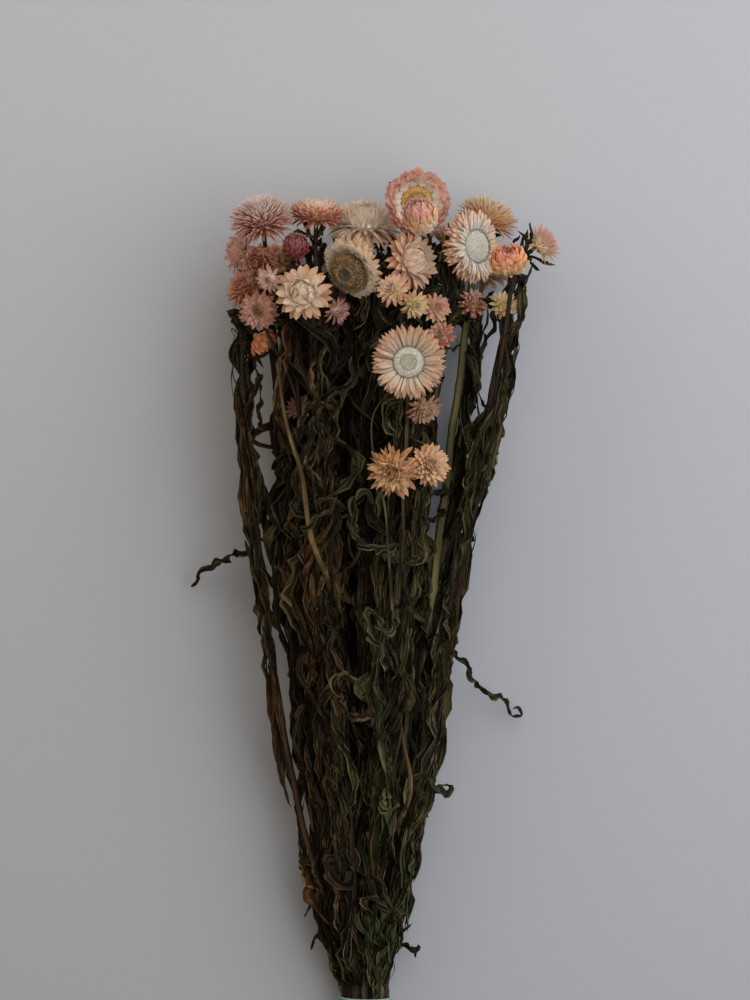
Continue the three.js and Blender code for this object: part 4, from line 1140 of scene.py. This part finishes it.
class Finish:
    """A material and its nodes."""

    def __init__(self, name):
        self.material = bpy.data.materials.new(name)
        self.material.use_nodes = True
        self.tree = self.material.node_tree
        self.tree.nodes.clear()
        grown = self.node("ShaderNodeAttribute", {"attribute_name": "growth"}, {}, "Color")
        self.shade = Value(self, grown.socket.node.outputs["Alpha"])
        split = self.node("ShaderNodeSeparateColor", {}, {0: grown}, "Red").socket.node.outputs
        self.along, self.across, self.rank = (Value(self, split[k]) for k in ("Red", "Green", "Blue"))
        self.place = self.node("ShaderNodeTexCoord", {}, {}, "Object")

    def node(self, kind, settings, values, output=0):
        """One node: its settings first, then its sockets' numbers, colours or links. Gives one output."""
        made = self.tree.nodes.new(kind)
        for key, setting in settings.items():
            setattr(made, key, setting)
        for key, value in values.items():
            socket = made.inputs[key]
            if isinstance(value, Value):
                self.tree.links.new(value.socket, socket)
            else:
                socket.default_value = value
        return Value(self, made.outputs[output])

    def mixed(self, factor, a, b, blend="MIX"):
        """Two colours mixed, each a link, a hex code or linear numbers."""
        a, b = (shade_of(c) if isinstance(c, str) else c for c in (a, b))
        return self.node(
            "ShaderNodeMix", {"data_type": "RGBA", "blend_type": blend, "clamp_factor": True},
            {0: factor, 6: a, 7: b}, 2)

    def noise(self, scale, detail=3.0, stretch=None):
        """Noise over the piece, per metre, stretched along its axes if asked."""
        place = self.place
        if stretch:
            place = self.node("ShaderNodeMapping", {}, {"Vector": place, "Scale": stretch}, "Vector")
        return self.node(
            "ShaderNodeTexNoise", {},
            {"Vector": place, "Scale": scale, "Detail": detail, "Roughness": NOISE_ROUGHNESS}, "Fac")

    def surface(self, colour, roughness, height=None, depth=0.0002, **constants):
        """The shader, with a bump of the given depth in metres, and constants on its own sockets."""
        values = {"Base Color": colour, "Roughness": roughness, **constants}
        if height is not None:
            values["Normal"] = self.node(
                "ShaderNodeBump", {}, {"Height": height, "Distance": depth, "Strength": 1.0}, "Normal")
        shader = self.node("ShaderNodeBsdfPrincipled", {}, values, "BSDF")
        out = self.tree.nodes.new("ShaderNodeOutputMaterial")
        self.tree.links.new(shader.socket, out.inputs["Surface"])
        return self.material


def papery(name, root, middle, tip, outer):
    """Dry papery bracts that let some light through: the colour runs from root to tip and changes towards
    the outermost, with fine lengthwise ribs, darker edges and a silky gloss."""
    f = Finish(name)
    inside = f.mixed(f.along.step(0.12, 0.55), root, middle)
    colour = f.mixed((f.along + 0.3 * (f.noise(90) - 0.5)).step(0.5, 0.95), inside, tip)
    colour = f.mixed(f.rank.step(0.55, 1.05) * 0.8, colour, outer)
    ribs = (f.across * 62.0 + f.noise(160) * 5.0).wave() * 0.5 + 0.5
    colour = f.mixed(ribs * 0.16 * (1 - 0.5 * f.along), colour, "b08468", "MULTIPLY")
    colour = f.mixed(f.shade.step(0.2, 1.0) * 0.42, colour, "b48c74", "MULTIPLY")
    edge = ((f.across - 0.5).size() * 2.0).step(0.82, 1.0) * f.along.step(0.25, 0.9)
    colour = f.mixed(edge * 0.22, colour, "b07a64", "MULTIPLY")
    aged = 0.2 + 0.55 * f.rank.step(0.35, 0.95) + 0.25 * f.along.step(0.3, 0.9)
    colour = f.mixed(aged, colour, "fbd6b0", "MULTIPLY")
    height = ribs * 0.6 + f.noise(420, 2.0) * 0.5
    return f.surface(
        colour, 0.4 + 0.2 * f.shade, height, 0.0001,
        **{"Subsurface Weight": 0.45, "Subsurface Radius": (1.0, 0.65, 0.45), "Subsurface Scale": 0.004})


def chaffy(name, pale, dark):
    """Scales of the calyx and the heart of a head: straw colour to brown, dull."""
    f = Finish(name)
    colour = f.mixed(f.along.step(0.1, 0.9) * 0.8 + 0.3 * f.shade, dark, pale)
    colour = f.mixed(f.noise(700).step(0.4, 0.7) * 0.4, colour, dark)
    return f.surface(colour, 0.7, f.noise(900), 0.0002)


def felted(name, middle, rim, line, split):
    """The florets of a disc: one colour in the middle, another out to the rim, a dark line between and
    darker at the rim, with painted shade towards the florets' feet and on the dome between them.
    """
    f = Finish(name)
    at = f.rank + 0.1 * (f.noise(500) - 0.5)
    colour = f.mixed(at.step(split - 0.05, split + 0.05), middle, rim)
    dark = (1 - (at - split).size().step(0.02, 0.09)) * 0.6 + at.step(0.9, 1.0) * 0.7
    colour = f.mixed(dark, colour, line)
    # Painted shade: darker towards the florets' feet and on the dome's body, which lies between them.
    colour = f.mixed((1 - f.along) * 0.5, colour, "8d8470", "MULTIPLY")
    # Each floret's own random shade; the dome's body is given a dark one, 0.8, as painted shade.
    colour = f.mixed(f.shade * 0.3, colour, "a8a090", "MULTIPLY")
    return f.surface(colour, 0.9, f.noise(1400, 2.0), 0.0003, **{"Sheen Weight": 0.4})


def leafy(name, settings):
    """Dried leaves: olive, brown or grey green, each with its own shade, redder low on the left and greener
    low on the right, wrinkled along, with painted shade near black in the grooves of their ribs and wrinkles,
    painted highlight on the crests, and pale edges that are partly their own colour and partly painted
    highlight."""
    f = Finish(name)
    split = f.node("ShaderNodeSeparateXYZ", {}, {0: f.place}, "X").socket.node.outputs
    x, y = (Value(f, split[k]) for k in ("X", "Y"))
    low = 1 - y.step(-0.16, 0.1)
    light = (f.shade + 0.5 * (f.noise(14, 2.0) - 0.5)).step(0.15, 0.95)
    colour = f.mixed(light, settings.leaf_dark, settings.leaf_olive)
    kind = (f.shade * 37.0).wave() * 0.5 + 0.5
    bright = f.shade.step(0.1, 0.7)
    green = (low * 0.75 + 0.25) * x.step(-0.04, 0.01) * kind.step(0.3, 0.6) * bright
    colour = f.mixed(green, colour, settings.leaf_green)
    red = (0.55 + 0.4 * low) * (1 - x.step(-0.05, 0.012)) * (1 - kind.step(0.35, 0.65)) * bright
    colour = f.mixed(red, colour, settings.leaf_russet)
    skin = {"X": f.across * 4.0, "Y": f.along * 5.0, "Z": f.shade * 90.0}
    skin = f.node("ShaderNodeCombineXYZ", {}, skin)
    wrinkle = f.node("ShaderNodeTexNoise", {}, {"Vector": skin, "Scale": 1.0, "Detail": 3.0}, "Fac")
    ribs = (f.across * 15.0 + wrinkle * 11.0 + f.shade * 50.0).wave() * 0.5 + 0.5
    edge = ((f.across - 0.5).size() * 2.0).step(0.7, 1.0)
    # Pale on the edges, partly the leaves' own colour and partly painted highlight, and painted highlight on
    # the crests of the ribs and wrinkles; it shows more on paler leaves.
    pale = edge * 0.6 + ribs.step(0.75, 1.0) * 0.4 + wrinkle.step(0.56, 0.7) * 0.5
    # Painted shade: near black in the grooves of the ribs and the troughs of the wrinkles.
    colour = f.mixed(ribs.step(0.6, 0.0) * 0.6 + wrinkle.step(0.48, 0.38) * 0.6, colour, "0d0a05")
    colour = f.mixed(pale * (0.08 + 0.72 * f.rank * f.rank), colour, "a8986a")
    return f.surface(
        colour, 0.55 + 0.25 * wrinkle, ribs * 0.8 + wrinkle * 2.0 + f.noise(420, 3.0) * 0.5, 0.0009,
        **{"Specular IOR Level": 0.12})


def barky(name, pale, dark):
    """A dry stem: ribs in two tones, darker in patches and towards its head, pale pith on a cut end."""
    f = Finish(name)
    streak = f.noise(120, 3.0, (1.0, 0.12, 1.0))
    colour = f.mixed(streak.step(0.35, 0.65), dark, pale)
    ribs = (f.across * 31.4).wave()
    colour = f.mixed((ribs * 0.5 + 0.5) * 0.3, colour, dark)
    colour = f.mixed(f.noise(45).step(0.5, 0.75) * 0.5 + f.shade * 0.4, colour, dark)
    colour = f.mixed(f.along.step(0.5, 1.0) * 0.7, colour, dark)
    colour = f.mixed(f.rank.step(0.3, 0.7), colour, "c9b78c")
    return f.surface(
        colour, 0.55 + 0.2 * streak, ribs * 0.5 + streak * 1.2, 0.0004, **{"Specular IOR Level": 0.25})


def corded(name, colour):
    """The tie's soft cord: twisted strands with a little fluff."""
    f = Finish(name)
    strands = (f.along * 2600.0 + f.across * 6.2832).wave() * 0.5 + 0.5
    tone = f.mixed(strands * 0.45, colour, "4f7466")
    tone = f.mixed(f.noise(800) * 0.4, tone, "a9cbbd")
    return f.surface(tone, 0.8, strands + 0.4 * f.noise(1500), 0.0005, **{"Sheen Weight": 0.3})


def painted_floor(name, colour):
    """A pale matt floor with the faintest unevenness."""
    f = Finish(name)
    tone = f.mixed(f.noise(3.0, 2.0).step(0.3, 0.7) * 0.05, colour, "b4b2ae")
    return f.surface(tone, 0.85, f.noise(160, 2.0), 0.00006)


# The colours of bracts from root to tip, and of the outermost.
LOOKS = {
    "lilac": ("c88888", "f2bcbe", "fffcff", "b86c6c"),
    "mauve": ("fdf0e4", "f2c8c0", "cc8890", "b87880"),
    "petal": ("fbeec4", "f8d0c0", "eeaaa6", "fdf4cc"),
    "pearl": ("f8e0cc", "f4c4b8", "f0b0a8", "fbe8c0"),
    "dusk": ("f0dc78", "e8c0ac", "cc8c8c", "a87070"),
    "rose": ("f4dc90", "d07468", "fff0da", "c85450"),
    "magenta": ("b06468", "8c3040", "b87080", "883840"),
    "umber": ("b47c50", "a06450", "b47868", "804c3c"),
    "russet": ("f4d07c", "dc9068", "d88c74", "b0604c"),
    "orange": ("fae48c", "f6c088", "ec9870", "e89074"),
    "coral": ("fadf9c", "fbc8a0", "f6a680", "fbe8b8"),
    "peach": ("e6d2bc", "e2c4aa", "dcb496", "d09c84"),
    "silk": ("fffcf4", "fffaf0", "fdecd8", "ecb08a"),
    "shell": ("fcf08c", "fff4dc", "f8d0b8", "eab0a0"),
    "blush": ("fffdf2", "fff4e4", "dc887e", "cc766a"),
    "cream": ("fffef8", "fffcf2", "faecd0", "d4a67c"),
    "ivory": ("fffef4", "fff6ea", "f4d4bc", "e6b89e"),
    "amber": ("e09c6c", "f6cc9c", "fdf0d0", "e8b084"),
    "tawny": ("d8a468", "f0cc98", "e8b888", "d8a070"),
    "straw": ("fffbea", "fff9ea", "fff8e6", "ffead6"),
    "pale": ("fffefa", "fffdf6", "fff6e0", "f4e0b8"),
    "sunny": ("f8ec80", "faf0c0", "f4e0b4", "e4c490"),
}

# The slot of each look that doesn't give its own name to one.
SLOTS = {look: slot for slot, looks in {
    "rose": ("magenta", "umber", "russet"), "cream": ("shell", "ivory", "pale"), "straw": ("sunny",),
    "lilac": ("mauve", "petal", "pearl", "dusk"),
    "peach": ("orange", "coral", "silk", "blush", "amber", "tawny"),
}.items() for look in looks}

# The colours of discs: the middle, the rim and the line between them, and how far out that is.
FELTS = {
    "seeded": ("605c48", "cc9c54", "6c5c38", 0.4),
    "ochre": ("b88c3c", "f0c468", "7a4a24", 0.6),
    "felt": ("dcd9ca", "e2dfd2", "8f8a74", 0.97),
    "ringed": ("c6c0a8", "ebe9de", "77715c", 0.52),
}

# The colours of bark, pale and dark.
BARKS = {
    "straw": ("967c4a", "3e2f18"),
    "ash": ("7c704e", "352c1c"),
    "olive": ("a39a68", "544c2c"),
    "brown": ("5a3d26", "23170e"),
}


# ---- Settings ----


def length_of(name, about, default, low, high):
    """A length that a user may change, in metres."""
    return bpy.props.FloatProperty(
        name=name, description=about, default=default, min=low, max=high, subtype="DISTANCE", unit="LENGTH",
        precision=5)


def colour_of(name, about, code):
    """A colour that a user may change."""
    return bpy.props.FloatVectorProperty(
        name=name, description=about, default=shade_of(code), size=4, min=0, max=1, subtype="COLOR")


class HeadSettings(bpy.types.PropertyGroup):
    """How full and how thin-skinned the heads are."""

    fullness: bpy.props.FloatProperty(
        name="Fullness", description="How many bracts the heads have, beside their own number", default=1.0,
        min=0.3, max=2.0, subtype="FACTOR")
    bract_thickness: length_of("Bract Thickness", "Thickness of a papery bract", 0.00032, 0.0001, 0.001)
    florets: bpy.props.IntProperty(
        name="Florets", description="How many florets a disc has", default=420, min=40, max=1500)


class FoliageSettings(bpy.types.PropertyGroup):
    """The stems and their dried leaves."""

    stem_radius: length_of("Stem Radius", "Radius of a stem at the tie", 0.0023, 0.001, 0.004)
    stem_top_radius: length_of("Top Radius", "Radius of a stem under its head", 0.00125, 0.0005, 0.003)
    leaves: bpy.props.IntProperty(
        name="Leaves", description="Most leaves on a stem", default=172, min=0, max=400)
    leaf_stations: bpy.props.IntProperty(
        name="Leaf Steps", description="Steps along a leaf", default=14, min=8, max=40)
    leaf_length: length_of("Leaf Length", "Usual length of a leaf", 0.056, 0.01, 0.12)
    leaf_width: length_of("Leaf Width", "Usual width of a leaf", 0.0068, 0.002, 0.03)
    crumple: bpy.props.FloatProperty(
        name="Crumple", description="How crumpled the leaves are", default=1.0, min=0.0, max=2.0,
        subtype="FACTOR")
    leaf_dark: colour_of("Dark Leaf", "The darkest dried leaves", "110c07")
    leaf_olive: colour_of("Olive Leaf", "Most dried leaves", "3f361c")
    leaf_green: colour_of("Green Leaf", "Leaves low on the right that kept some green", "4a5838")
    leaf_russet: colour_of("Russet Leaf", "Leaves low on the left", "5e381f")


class TieSettings(bpy.types.PropertyGroup):
    """The tie round the stems."""

    tie_turns: bpy.props.IntProperty(
        name="Turns", description="Turns of cord round the stems", default=6, min=2, max=12)
    tie_colour: colour_of("Cord", "Colour of the cord", "7fae9d")


class StageSettings(bpy.types.PropertyGroup):
    """The floor, the lights and the camera."""

    camera_height: length_of("Camera Height", "Height of the camera over the floor", 2.4, 0.5, 6.0)
    field: length_of("Field", "Length that the picture takes in, at the height of the bunch", 0.556, 0.1, 2.0)
    key_power: bpy.props.FloatProperty(
        name="Key Light", description="Power of the key light", default=17.6, min=0, max=500, unit="POWER")
    fill: bpy.props.FloatProperty(
        name="Fill", description="Strength of the light from all round", default=0.19, min=0.0, max=2.0)
    floor_colour: colour_of("Floor", "Colour of the floor", "aeb0b6")


# ---- Operators ----


class BUNCH_OT_heads(bpy.types.Operator):
    """Builds every head with its papery bracts"""

    bl_idname = "bunch.heads"
    bl_label = "Build Heads"
    bl_options = {"REGISTER", "UNDO"}

    def execute(self, context):
        settings = context.scene.bunch_heads
        petals = {look: papery("papery_" + look, *codes) for look, codes in LOOKS.items()}
        heart = chaffy("chaff_heart", "e2c690", "9a7446")
        calyx = chaffy("chaff_calyx", "d0b07c", "7a5a34")
        for number, (name, one) in enumerate(HEADS.items()):
            shell = build_head(name, one, number, settings)
            look = one["look"]
            shell.make(name, SLOTS.get(look, look), [petals[look], heart, calyx], PETAL)
        return {"FINISHED"}


class BUNCH_OT_discs(bpy.types.Operator):
    """Builds the discs of the open heads"""

    bl_idname = "bunch.discs"
    bl_label = "Build Discs"
    bl_options = {"REGISTER", "UNDO"}

    def execute(self, context):
        for name, disc in DISCS.items():
            felt = disc[-1]
            shell = build_disc(disc, context.scene.bunch_heads)
            shell.make(name, "disc", [felted("felt_" + felt, *FELTS[felt])])
        return {"FINISHED"}


class BUNCH_OT_stems(bpy.types.Operator):
    """Builds every stem with its branches and dried leaves"""

    bl_idname = "bunch.stems"
    bl_label = "Build Stems"
    bl_options = {"REGISTER", "UNDO"}

    def execute(self, context):
        settings = context.scene.bunch_foliage
        leaf = leafy("dried_leaf", settings)
        barks = {bark: barky("bark_" + bark, *codes) for bark, codes in BARKS.items()}
        bare = []
        for name, (low, high) in BARE.items():
            slot, tip, _, _ = STEMS[name]
            rough = main_path(slot, tip, BEND_STEPS)
            bare.append(np.array([point_at(rough, share) for share in np.linspace(low, high, 40)]))
        bare += [smooth_path(knots[1:], 8) for twigs in TWIGS.values() for _, knots, _, _ in twigs]
        for name, (_, _, _, bark) in STEMS.items():
            shell = build_stem(name, settings, bare)
            shell.make(name, "foliage", [leaf, barks[bark], barks["straw"]], LEAF)
        return {"FINISHED"}


class BUNCH_OT_tie(bpy.types.Operator):
    """Builds the tie round the stems"""

    bl_idname = "bunch.tie"
    bl_label = "Build Tie"
    bl_options = {"REGISTER", "UNDO"}

    def execute(self, context):
        settings = context.scene.bunch_tie
        build_tie(settings).make("tie_band", "tie", [corded("soft_cord", tuple(settings.tie_colour))])
        return {"FINISHED"}


# The stage, in metres: half a side of the floor, the height that the field of view is measured at, how far
# the camera sees, and where the lamps point.
FLOOR_HALF, MIDDLE_HEIGHT, CLIP_END, LAMP_AIM = 4.0, 0.06, 20.0, (0, 0.1, 0)

# The camera's sensor, and the point of the bunch that it stands over, in millimetres.
SENSOR = 36.0
PICTURE_MIDDLE = (1.65, 286.0)

# The colour of the light from all round, and the lamps: name, place, size, share of the key light's power
# and colour.
SKY = (1.0, 0.965, 0.9, 1)
LAMPS = [
    ("key", (0.58, 0.47, 0.74), 1.7, 1.0, (0.97, 0.98, 1.0)),
    ("warm", (-0.6, 0.5, 0.5), 0.8, 0.13, (1.0, 0.82, 0.6)),
]


class BUNCH_OT_stage(bpy.types.Operator):
    """Builds the floor, the lights and the camera"""

    bl_idname = "bunch.stage"
    bl_label = "Build Stage"
    bl_options = {"REGISTER", "UNDO"}

    def execute(self, context):
        scene = context.scene
        settings = scene.bunch_stage
        mesh = bpy.data.meshes.new("floor")
        corners = [(x * FLOOR_HALF, y * FLOOR_HALF, 0) for x, y in ((-1, -1), (1, -1), (1, 1), (-1, 1))]
        mesh.from_pydata(corners, [], [(0, 1, 2, 3)])
        mesh.materials.append(painted_floor("pale_floor", tuple(settings.floor_colour)))
        floor = bpy.data.objects.new("floor", mesh)
        scene.collection.objects.link(floor)

        world = bpy.data.worlds.new("soft_studio")
        world.use_nodes = True
        glow = world.node_tree.nodes["Background"].inputs
        glow["Color"].default_value, glow["Strength"].default_value = SKY, settings.fill
        scene.world = world
        for name, at, size, share, colour in LAMPS:
            light = bpy.data.lights.new(name, "AREA")
            light.size, light.energy, light.color = size, share * settings.key_power, colour
            lamp = bpy.data.objects.new(name, light)
            lamp.location = at
            lamp.rotation_euler = (Vector(LAMP_AIM) - Vector(at)).to_track_quat("-Z", "Y").to_euler()
            scene.collection.objects.link(lamp)

        lens = bpy.data.cameras.new("overhead")
        lens.sensor_fit, lens.sensor_width, lens.sensor_height = "AUTO", SENSOR, SENSOR
        lens.lens = SENSOR * (settings.camera_height - MIDDLE_HEIGHT) / settings.field
        lens.clip_end = CLIP_END
        camera = bpy.data.objects.new("overhead", lens)
        camera.location = (*((np.array(PICTURE_MIDDLE) + SHIFT[:2]) / MM), settings.camera_height)
        scene.collection.objects.link(camera)
        scene.camera = camera
        scene.view_settings.view_transform = "Standard"
        return {"FINISHED"}


class BUNCH_PT_panel(bpy.types.Panel):
    """The steps that build the bunch"""

    bl_idname = "BUNCH_PT_panel"
    bl_label = "Dried Strawflowers"
    bl_space_type = "VIEW_3D"
    bl_region_type = "UI"
    bl_category = "Strawflowers"

    def draw(self, context):
        for operator, settings in STEPS:
            self.layout.operator(operator.bl_idname)
            group = getattr(context.scene, settings)
            for key in group.bl_rna.properties.keys():
                if key not in ("rna_type", "name"):
                    self.layout.prop(group, key)


STEPS = [
    (BUNCH_OT_heads, "bunch_heads"), (BUNCH_OT_discs, "bunch_heads"), (BUNCH_OT_stems, "bunch_foliage"),
    (BUNCH_OT_tie, "bunch_tie"), (BUNCH_OT_stage, "bunch_stage"),
]
GROUPS = {
    "bunch_heads": HeadSettings, "bunch_foliage": FoliageSettings, "bunch_tie": TieSettings,
    "bunch_stage": StageSettings,
}


def register():
    for name, group in GROUPS.items():
        bpy.utils.register_class(group)
        setattr(bpy.types.Scene, name, bpy.props.PointerProperty(type=group))
    for operator, _ in STEPS:
        bpy.utils.register_class(operator)
    bpy.utils.register_class(BUNCH_PT_panel)


def unregister():
    bpy.utils.unregister_class(BUNCH_PT_panel)
    for operator, _ in reversed(STEPS):
        bpy.utils.unregister_class(operator)
    for name, group in GROUPS.items():
        delattr(bpy.types.Scene, name)
        bpy.utils.unregister_class(group)


def main():
    """Builds the whole bunch."""
    register()
    bpy.ops.bunch.heads()
    bpy.ops.bunch.discs()
    bpy.ops.bunch.stems()
    bpy.ops.bunch.tie()
    bpy.ops.bunch.stage()


if __name__ == "__main__":
    main()
